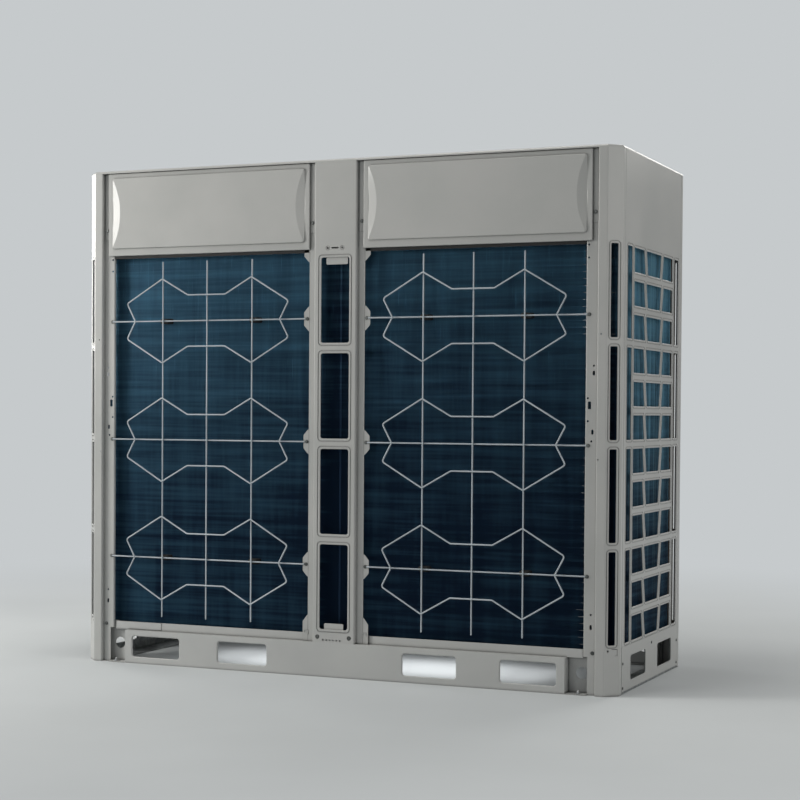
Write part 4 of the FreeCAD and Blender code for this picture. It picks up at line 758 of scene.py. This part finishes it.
def centre_post_front():
    """Hat section with four rimmed openings; its flanges have a bump at each wire end."""
    half, flange = 74, 98
    route = [(flange, -FLANGE_Y), (half, -FLANGE_Y), (half, -HALF_DEPTH), (-half, -HALF_DEPTH), (-half, -FLANGE_Y),
             (-flange, -FLANGE_Y)]
    whole = bent_sheet("centre_post", route, POST_SHEET, RAIL_TOP, TOP_EDGE, inward=-1)
    on_face = upright_at(-HALF_DEPTH)
    base, pitch, tall = 152.5, 306.5, 276
    openings = [box_corners((-51, 51), (base + bay * pitch, base + bay * pitch + tall)) for bay in range(BAYS)]
    small = [round_hole(x, 1376.5, 3.6) for x in (-26.5, 24.5)] + [slot_hole(-1, 1376.8, 13, 2.6)]
    small += [round_hole(-36 + 12 * i, 119.5, 3) for i in range(6)] + [round_hole(x, 129, 7.2) for x in (-56, 56)]
    pressed = [box_corners((x - 3, x + 3), (1373.5, 1379.5)) for x in (-26.5, 24.5)]
    cutter = merged("centre_tools", [
        pushed("openings", [rounded(opening, 9, 6) for opening in openings], on_face, -4, 6),
        channels("window_lines", openings, on_face, 5, 3.4, 1.7),
        channels("hole_lines", pressed, on_face, 3, 1.6, 0.9),
        pushed("small", small, on_face, -4, 6)])
    post = pierced(whole, cutter)
    # A bump at each wire end, half a one tucked under each panel, and a foot that widens over the rail
    shapes = [([(-1, z - 42), (6, z - 36), (19, z - 21), (19, z + 21), (6, z + 36), (-1, z + 42)], 4, 4)
              for z in WIRE_ROWS]
    shapes.append(([(-1, 1332), (6, 1338), (19, 1353), (19, 1374), (-1, 1374)], 1.5, 3))
    shapes.append(([(-1, 198), (5, 192), (18, 174), (18, 111.2), (-1, 111.2)], 1.5, 3))
    bumps = [[(side * u, v) for u, v in rounded([(flange + out, z) for out, z in shape], radius, steps)]
             for side in (-1, 1) for shape, radius, steps in shapes]
    ears = pushed("bumps", bumps, upright_at(-FLANGE_Y), 0, 2)
    # Dished seats behind the two foot screws
    seats = pushed("seats", [round_hole(x, 129, 9) for x in (-56, 56)], on_face, 3.2, 4.2)
    shown("centre_post_sheet_front", merged("centre_post_front", [post, ears, seats]), "cabinet_coat",
          replaces=["centre_post_front"])
    rolled_rims("centre_window_rims", [[on_face(u, v, 2.4) for u, v in rounded(widened(opening, 0.8), 9.8, 6)]
                                       for opening in openings], 2.4)
    # Lanced corners on the feet
    marks = [([(side * u, -FLANGE_Y - 0.4, v) for u, v in ((97, 133), (97, 147), (110, 147), (110, 139))], False)
             for side in (-1, 1)]
    bars("foot_marks", marks, 1.3, "cabinet_coat", bend=1, sides=8, steps=2)
    # A turned tab hangs in the highest opening and another stands in the lowest
    tabs = [rounded(box_corners((-33, 43), (1324, 1347)), 4), rounded(box_corners((-34, 34), (149, 173)), 4)]
    shown("window_tabs", pushed("window_tabs", tabs, on_face, 4, 5.5), "cabinet_coat")


def side_panels():
    """Sheet with a plain top and a lattice of tapered, rimmed cells below it."""
    def on_side(u, v, level):
        """u runs rearwards, level is the depth below the face."""
        return (HALF_WIDTH - level, u, v)

    half = SIDE_END - SEAM
    slot_out = SIDE_END - 28
    slot_in = slot_out - 54
    edge = slot_in - 20
    bar_top = edge - 115
    bar_low = bar_top - 17
    bar, cell = 22, 77
    outlines = [box_corners((end * slot_in, end * slot_out), (z, z + SLOT_HEIGHT))
                for end in (-1, 1) for z in BAY_BASES]
    for row in range(3 * BAYS):
        low = SLOT_BASE + row * BAY_PITCH / 3
        high = low + cell
        outlines += [[(end * edge, low), (end * edge, high), (end * bar_top, high), (end * bar_low, low)]
                     for end in (-1, 1)]
        outlines.append([(bar - bar_low, low), (bar_low - bar, low), (bar_top - bar, high), (bar - bar_top, high)])
    tray_route = [(HALF_WIDTH - 12, -half), (HALF_WIDTH, -half), (HALF_WIDTH, half), (HALF_WIDTH - 12, half)]
    tray = bent_sheet("side_tray", tray_route, SKIN, 145, TOP_EDGE, bend=2.2)
    sheet = pierced(tray, merged("side_tools", [
        pushed("cells", [rounded(outline, 5, 4) for outline in outlines], on_side, -4, 6),
        channels("cell_lines", outlines, on_side, 4.2, 2.8, 1.3)]))
    loops = [[on_side(u, v, 1.7) for u, v in rounded(widened(outline, 0.8), 5.8, 4)] for outline in outlines]
    for side, hand in HANDS[::-1]:
        shown(f"side_sheet_{hand}", mirrored_mesh(sheet, side), "cabinet_coat", replaces=[f"side_panel_{hand}"])
        rolled_rims(f"side_cell_rims_{hand}", [[(side * x, y, z) for x, y, z in loop] for loop in loops], 1.9,
                    sides=10)


def end_share(u, v, x, z):
    """How much of an end's bow a point takes: 1 at mid-height on either end, 0 at the corners and further in."""
    middle, half = (z[0] + z[1]) / 2, (z[1] - z[0]) / 2
    return max(0.0, 1 - ((v - middle) / half) ** 2) * max(0.0, 1 - min(abs(u - x[0]), abs(u - x[1])) / 30)


def lens(x, z, bow, radius, steps=16):
    """Outline of a plate with rounded corners whose two ends bow inwards by bow at mid-height."""
    base = rounded(box_corners(x, z), radius, 6)
    made = []
    for start, end in zip(base, base[1:] + base[:1]):
        long = max(abs(end[0] - start[0]), abs(end[1] - start[1])) > 3 * radius
        made += [tuple(Vector(start).lerp(Vector(end), i / steps)) for i in range(steps if long else 1)]
    centre = (x[0] + x[1]) / 2
    return [(u - math.copysign(bow * end_share(u, v, x, z), u - centre), v) for u, v in made]


def upper_panels():
    """Screwed panels with a raised plateau that falls away in a lens-shaped bevel at both ends."""
    x, z = (95, 852), (1374, 1651.4)
    plate_x, plate_z = (x[0] + 16, x[1] - 16), (z[0] + 23, z[1] - 16)
    border, top = -384, -389.8

    def inset(by):
        """The plateau's edges, drawn in."""
        return (plate_x[0] + by, plate_x[1] - by), (plate_z[0] + by, plate_z[1] - by)

    rings = []
    for out, y in ((0, -FLANGE_Y), (0, border + 2.2), (0.7, border + 0.7), (2.2, border)):
        rings.append([(u, y, v) for u, v in lens((x[0] + out, x[1] - out), (z[0] + out, z[1] - out), 0, 3)])
    rings.append([(u, border, v) for u, v in lens(plate_x, plate_z, 0, 9)])
    rings.append([(u, top + 0.8 + 6 * end_share(u, v, plate_x, plate_z), v) for u, v in lens(*inset(1.6), 0, 8)])
    rings.append([(u, top, v) for u, v in lens(*inset(3.2), 29, 7)])
    tabs = [rounded(box_corners(ends, (1428, 1650)), 2) for ends in ((x[0] - 16, x[0] + 2), (x[1] - 2, x[1] + 16))]
    panel = merged("upper_panel", [lofted("upper_panel", rings),
                                   pushed("tabs", tabs, upright_at(-FLANGE_Y, -1), 0, SKIN)])
    four_ways("upper_panel_sheet", panel, "upper_panel", sharp=9)


def top_cover():
    """Pressed lid with a rolled edge and an opening over each fan."""
    levels = [(0, 1651.6)] + [(7 - 7 * math.cos(turn), 1653 + 7 * math.sin(turn))
                              for turn in (math.pi / 2 * i / 6 for i in range(7))]
    rings = []
    for inset, z in levels:
        reach = CORNER_CUT + inset * math.tan(math.radians(22.5))
        x, y = HALF_WIDTH - inset, HALF_DEPTH - inset
        near_x, near_y = HALF_WIDTH - reach, HALF_DEPTH - reach
        half = [(x, -near_y), (x, near_y), (near_x, y), (-near_x, y)]
        rings.append([(sign * u, sign * v, z) for sign in (1, -1) for u, v in half])
    mouths = pushed("mouths", [round_hole(side * FAN_X, 0, MOUTH_RADIUS + 0.6, 96) for side in (-1, 1)],
                    flat, 1640, 1670)
    shown("top_cover_sheet", pierced(lofted("top_cover", rings), mouths), "cabinet_coat", replaces=["top_cover"])


def opening_rims():
    """Rolled lips round the fork openings and the openings in the base ends."""
    forks = [[(u, front * (HALF_DEPTH - 4), v)
              for u, v in rounded(box_corners((x - 94.5, x + 94.5), (18.5, 95.5)), 13, 6)]
             for x in (-660, -332, 332, 660) for front in (-1, 1)]
    ends = [[(side * (HALF_WIDTH - 1.2), u, v) for u, v in rounded(box_corners((y - 88, y + 88), (32, 112)), 12, 6)]
            for y in (-148, 164) for side in (-1, 1)]
    rolled_rims("fork_opening_lips", forks, 4, "rail_coat")
    rolled_rims("end_opening_rims", ends, 2.0, "rail_coat", 10)


# ---- Fans


def fan_guards():
    """Welded finger guard: rings under radial bars that rise to a dished boss."""
    boss_radius, hoop_radius = 58, 345.5
    boss_profile = ((0, 25.6), (40, 25.6), (52, 24.8), (57, 23), (58, 21), (56, 21), (50, 22.4), (0, 22.8))
    bar_route = ((50, 23.8), (58, 23.8), (345, 5), (349, 4.6))
    for side, hand in HANDS:
        centre = (side * FAN_X, 0)
        routes = []
        # Each ring lies 3.4 mm under the line on which the bars fall 19 mm from the boss to the hoop
        for i in range(14):
            radius = 66 + i * 20.2
            z = HEIGHT + 24 - 19 * (radius - boss_radius) / (hoop_radius - boss_radius) - 3.4
            routes.append(([(*spot, z) for spot in round_hole(*centre, radius, 64)], True))
        for i in range(24):
            turn = math.tau * i / 24
            routes.append(([(centre[0] + r * math.cos(turn), r * math.sin(turn), HEIGHT + z)
                            for r, z in bar_route], False))
        wires = grown("guard_rings", LINE_BAR, lines("guard_lines", routes), "guard_coat", bar_radius=1.9,
                      bend_radius=8, sides=8, bend_steps=3)
        boss = turned_round("boss", [(r, HEIGHT + z) for r, z in boss_profile], centre)
        hoop = turned_round("hoop", round_hole(348, HEIGHT + 2.5, 2.4, 10), centre, 96, True)
        shown(f"fan_guard_wires_{hand}", merged("fan_guard", [wires, boss, hoop]), "guard_coat", sharp=50,
              replaces=[f"fan_guard_{hand}", f"fan_hoop_{hand}"])


def bell_mouths():
    """Spun ring under the cover, its inlet rolled outwards."""
    wall, lip = 3, 12
    top, bottom = 1658.5, 1468.5
    outer = MOUTH_RADIUS + wall
    turns = [math.pi / 2 * i / 6 for i in range(7)]
    # Down the inside, out round the rolled inlet, back along it and up the outside
    profile = [(MOUTH_RADIUS, top), (MOUTH_RADIUS, bottom + lip + 2)]
    profile += [(MOUTH_RADIUS + lip * (1 - math.cos(t)), bottom + lip * (1 - math.sin(t))) for t in turns]
    profile += [(outer + lip * (1 - math.cos(t)) + 1.5, bottom + lip - (lip - wall) * math.sin(t) + 1.5)
                for t in turns[::-1]]
    profile += [(outer, bottom + lip + 4), (outer, top)]
    for side, hand in HANDS:
        mesh = turned_round("bell", profile, (side * FAN_X, 0), 96, True)
        shown(f"bell_mouth_ring_{hand}", mesh, "cabinet_coat", replaces=[f"bell_mouth_{hand}"])


def blade():
    """One fan blade as a closed thin skin: wide at the tip, swept forwards, twisted and cambered."""
    across, along = 22, 16
    root = HUB_RADIUS - 12
    corners = []
    for face in (1, -1):
        for i in range(across + 1):
            u = i / across
            radius = root + u * (TIP_RADIUS - root)
            chord = 130 + 150 * u ** 0.8
            pitch = math.radians(34 - 13 * u)
            sweep = math.radians(4 + 22 * u ** 1.6)
            for k in range(along + 1):
                v = k / along - 0.5
                round_off = 1 - 0.16 * (2 * abs(v)) ** 4 * u ** 6
                thick = 1.6 * (1 - (2 * v) ** 4) + 0.5
                turn = sweep + v * chord * math.cos(pitch) / max(radius, 60)
                rise = v * chord * math.sin(pitch) + 0.07 * chord * (1 - 4 * v * v) + face * thick
                r = root + (radius - root) * round_off
                corners.append((r * math.cos(turn), r * math.sin(turn), HUB_BASE + HUB_HEIGHT / 2 + rise * 0.92))
    width, count = along + 1, (across + 1) * (along + 1)
    faces = []
    for i in range(across):
        for k in range(along):
            quad = (i * width + k, (i + 1) * width + k, (i + 1) * width + k + 1, i * width + k + 1)
            faces.append(quad)
            faces.append(tuple(count + n for n in quad)[::-1])
    border = [i * width for i in range(across + 1)] + [across * width + k for k in range(1, width)]
    border += [i * width + along for i in range(across - 1, -1, -1)] + [k for k in range(along - 1, 0, -1)]
    for here, there in zip(border, border[1:] + border[:1]):
        faces.append((here, there, count + there, count + here))
    return meshed("blade", corners, faces)


def fans():
    """Moulded rotors: a ribbed cup of a hub with four blades."""
    one = blade()
    top, bottom = HUB_BASE + HUB_HEIGHT, HUB_BASE
    cup = [(0, top), (14, top), (16, top - 3), (60, top - 3), (78, top - 5), (86, top - 11), (HUB_RADIUS, top - 20),
           (HUB_RADIUS, bottom), (84, bottom), (84, top - 24), (76, top - 14), (22, top - 10), (20, bottom + 2),
           (0, bottom + 2)]
    for side, hand in HANDS:
        pieces = []
        for i in range(4):
            copy = one.copy()
            copy.transform(Matrix.Translation(mm(side * FAN_X, 0, 0)) @ Matrix.Rotation(math.tau * i / 4, 4, "Z"))
            pieces.append(copy)
        pieces.append(turned_round("hub", cup, (side * FAN_X, 0)))
        ribs = []
        for i in range(8):
            turn = math.tau * i / 8
            along = Vector((math.cos(turn), math.sin(turn)))
            beside = Vector((-along.y, along.x)) * 1.5
            loop = [along * 18 - beside, along * 82 - beside, along * 82 + beside, along * 18 + beside]
            ribs.append([(side * FAN_X + p.x, p.y) for p in loop])
        pieces.append(pushed("webs", ribs, flat, bottom + 6, top - 15))
        shown(f"fan_blades_{hand}", merged("rotor", pieces), "fan_plastic", body=f"fan_{hand}",
              replaces=[f"fan_rotor_{hand}"])


# ---- Fasteners


def screws():
    """Flange-head screws where the panels, guards and base ends are held."""
    front, rear = (0, -1, 0), (0, 1, 0)
    places = []
    for side in (-1, 1):
        for x in (87, 860):
            places += [((side * x, -377, 1460), front), ((side * x, 377, 1460), rear)]
        places += [((side * x, -375.2, z), front) for z in WIRE_ROWS for x in (105, 842)]
        places += [((side * x, 384.2, z), rear) for z in (180, 470, 760, 1050, 1330) for x in (103, 844)]
        places += [((side * 938.6, y, z), (side, 0, 0))
                   for y, z in ((-319, 19), (-319, 93.5), (319, 19), (319, 93.5), (8, 122))]
        places += [((side * 56, -386.8, 129), front), ((side * 861, -375.5, 128), front)]
    mesh = grown("screws", SCREWS, spots("screw_spots", places), "screw_coat", head_radius=4.4, head_height=3.2,
                 flange_radius=6, flange_height=1)
    shown("flange_head_screws", mesh, "screw_coat", replaces=["screw_heads"], sharp=25)


def guard_pads():
    """Moulded rubber blocks between the outer uprights and the coils: rounded, narrower towards the wire."""
    layers = ((-343.2, 17.6, 8.6), (-346, 18, 9), (-368, 17.2, 8.6), (-371, 15.5, 7.5), (-373, 12, 5.5))
    pads = []
    for side in (-1, 1):
        for column in UPRIGHTS[::2]:
            x = side * GUARD_X + column
            for z in WIRE_ROWS[::2]:
                pads.append(lofted("pad", [
                    [(u, y, v) for u, v in rounded(box_corners((x - half, x + half), (z - rise, z + rise)), 5)]
                    for y, half, rise in layers]))
    shown("guard_pad_blocks", merged("guard_pads", pads), "black_rubber", replaces=["guard_pads"])


def shading_seal():
    """Black foam strip between the upper panels and the coils; its black also stands in as painted shade under the
    panels' lower edge.
    """
    strips = [rounded(box_corners(x, (1364.5, 1374)), 1, 2) for x in ((100, 831), (-831, -100))]
    shown("coil_top_seal", pushed("seal", strips, upright_at(-FLANGE_Y), 0, 6), "black_rubber")


def bare_bends():
    """Where the fins fan out round a corner the tube rows show bare: short ticks of bright steel beside the right
    post, partly bare tube and partly painted highlight.
    """
    chance = random.Random(4)
    low, high = (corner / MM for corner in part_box("coil_fins_right"))
    centre = Vector((high.x - COIL_BEND, low.y + COIL_BEND))
    routes = []
    for row in range(int((high.z - low.z) // TUBE_PITCH)):
        z = low.z + TUBE_PITCH / 2 + TUBE_PITCH * row
        if z < 800 or z > 1090:
            near = chance.uniform(12, 26) if z < 260 else chance.uniform(2, 9) if z < 800 else chance.uniform(5, 13)
            routes.append(([(centre.x - near, low.y - 0.4, z), (centre.x + 6, low.y - 0.2, z)], False))
        if z > 1060:
            turns = sorted(math.radians(chance.uniform(36, 54)) for _ in range(2))
            arc = [centre + Vector((math.sin(t), -math.cos(t))) * (COIL_BEND + 0.6) for t in turns]
            routes.append(([(*spot, z) for spot in arc], False))
    bars("bare_bends", routes, 0.5, "shaft_steel", bend=0.1, sides=6, steps=1)


def pan_strap():
    """Short cover strip over the joint at the left end of the pan's lip."""
    low, high = (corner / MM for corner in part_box("drain_pan"))
    strip = [rounded(box_corners((-824, -650), (RAIL_TOP + 3, high.z - 1)), 1.5, 3)]
    shown("pan_joint_strip", pushed("pan_strip", strip, upright_at(low.y, -1), -0.5, 1.6), "rail_coat")


def foot_bolts():
    """Hexagon nuts on studs at the front feet."""
    pieces = []
    for side in (-1, 1):
        centre = (side * 819, -381)
        pieces.append(pushed("nut", [round_hole(*centre, 6.4, 6)], flat, 3, 8.5))
        pieces.append(turned_round("stud", [(0, 2.5), (3.2, 2.5), (3.2, 13), (2.4, 14.2), (0, 14.2)], centre, 16))
    shown("foot_nuts", merged("foot_nuts", pieces), "shaft_steel")


coils()
wire_guards()
corner_posts()
centre_post_front()
side_panels()
upper_panels()
top_cover()
opening_rims()
fan_guards()
bell_mouths()
fans()
screws()
guard_pads()
shading_seal()
bare_bends()
pan_strap()
foot_bolts()


# ---- Stage, light and camera


def seen_by(tree, *rays):
    """1 for the kinds of ray named, otherwise 0."""
    path = node(tree, "ShaderNodeLightPath")
    return maths(tree, "MAXIMUM", *(path.outputs[ray] for ray in rays))


def studio_floor(backdrop):
    """Pale floor that turns into the backdrop away from the unit, for the eye and for reflections."""
    finish, tree, principled, place = finish_of("pale_studio_floor", IOR=1.45, Metallic=0.0)
    shaded(tree, principled, place, "#bfc3c5", "#c4c8ca", 900, (0.7, 0.8))
    away = node(tree, "ShaderNodeVectorMath", {0: place}, operation="LENGTH").outputs["Value"]
    fade = ramp(tree, away, 1.2, 4.5, interpolation_type="SMOOTHSTEP")
    share = maths(tree, "MULTIPLY", seen_by(tree, "Is Camera Ray", "Is Glossy Ray"), fade)
    plain = node(tree, "ShaderNodeEmission", {"Color": backdrop})
    mix = node(tree, "ShaderNodeMixShader", {0: share, 1: principled.outputs[0], 2: plain.outputs[0]})
    output = next(each for each in tree.nodes if each.bl_idname == "ShaderNodeOutputMaterial")
    tree.links.new(mix.outputs[0], output.inputs["Surface"])
    mesh = bpy.data.meshes.new("studio_floor")
    reach = 30
    mesh.from_pydata([(-reach, -reach, 0), (reach, -reach, 0), (reach, reach, 0), (-reach, reach, 0)], [],
                     [(0, 1, 2, 3)])
    mesh.materials.append(finish)
    floor = bpy.data.objects.new("studio_floor", mesh)
    scene.collection.objects.link(floor)


def stage():
    """Pale studio floor that runs to the horizon, soft light from the front left, dimmer on the right."""
    backdrop = linear("#c6cacc")
    studio_floor(backdrop)
    world = bpy.data.worlds.new("studio")
    scene.world = world
    world.use_nodes = True
    tree = world.node_tree
    tree.nodes.clear()
    light = node(tree, "ShaderNodeBackground", {"Color": linear("#dfe2e4"), "Strength": 0.27})
    behind = node(tree, "ShaderNodeBackground", {"Color": backdrop})
    mixed = node(tree, "ShaderNodeMixShader", {0: seen_by(tree, "Is Camera Ray", "Is Transmission Ray"),
                                               1: light.outputs[0], 2: behind.outputs[0]})
    node(tree, "ShaderNodeOutputWorld", {0: mixed.outputs[0]})
    for name, place, aim, size, power in (
        ("key_softbox", (-2.0, -6.0, 2.7), (0, 0, 0.8), 1.8, 20),
        ("left_softbox", (-3.6, -2.25, 1.7), (0, 0, 0.9), 1.3, 100),
        ("left_rear_softbox", (-5.2, 2.0, 2.0), (0, 0, 0.9), 1.6, 60),
        ("top_softbox", (-0.4, -0.8, 5.2), (0, 0, 0.8), 1.8, 95),
        ("fill_softbox", (5.7, -1.0, 2.4), (0.4, 0, 0.8), 3.0, 80),
        ("rear_softbox", (1.5, 5.0, 4.0), (0, 0, 0.8), 3.0, 110),
    ):
        lamp = bpy.data.lights.new(name, "AREA")
        lamp.energy = power
        lamp.size = size
        lamp.color = linear("#fffdf8")[:3]
        holder = bpy.data.objects.new(name, lamp)
        holder.location = place
        holder.rotation_euler = (Vector(aim) - Vector(place)).to_track_quat("-Z", "Y").to_euler()
        scene.collection.objects.link(holder)
    # A thin low lamp under the pan lights the floor that the fork openings look onto
    lamp = bpy.data.lights.new("under_softbox", "AREA")
    lamp.shape = "RECTANGLE"
    lamp.size, lamp.size_y, lamp.energy = 1.22, 0.34, 2.0
    holder = bpy.data.objects.new("under_softbox", lamp)
    holder.location = (0.0, -0.06, 0.107)
    scene.collection.objects.link(holder)
    scene.view_settings.view_transform = "Standard"


def camera():
    """The photograph's eye point: 23 degrees round to the right, at half the unit's height."""
    lens_data = bpy.data.cameras.new("photo_view")
    lens_data.sensor_width = 36
    lens_data.lens = 80.04
    lens_data.shift_y = 0.062
    lens_data.clip_end = 100
    yaw, pitch, roll = (math.radians(angle) for angle in (23.357, -1.205, 0.387))
    forward = Vector((-math.sin(yaw) * math.cos(pitch), math.cos(yaw) * math.cos(pitch), math.sin(pitch)))
    right = Vector((math.cos(yaw), math.sin(yaw), 0))
    up = right.cross(forward)
    right, up = (math.cos(roll) * right + math.sin(roll) * up, math.cos(roll) * up - math.sin(roll) * right)
    holder = bpy.data.objects.new("photo_view", lens_data)
    turn = Matrix((right, up, -forward)).transposed().to_4x4()
    holder.matrix_world = Matrix.Translation((2.4499, -5.5310, 0.8531)) @ turn
    scene.collection.objects.link(holder)
    scene.camera = holder


stage()
camera()
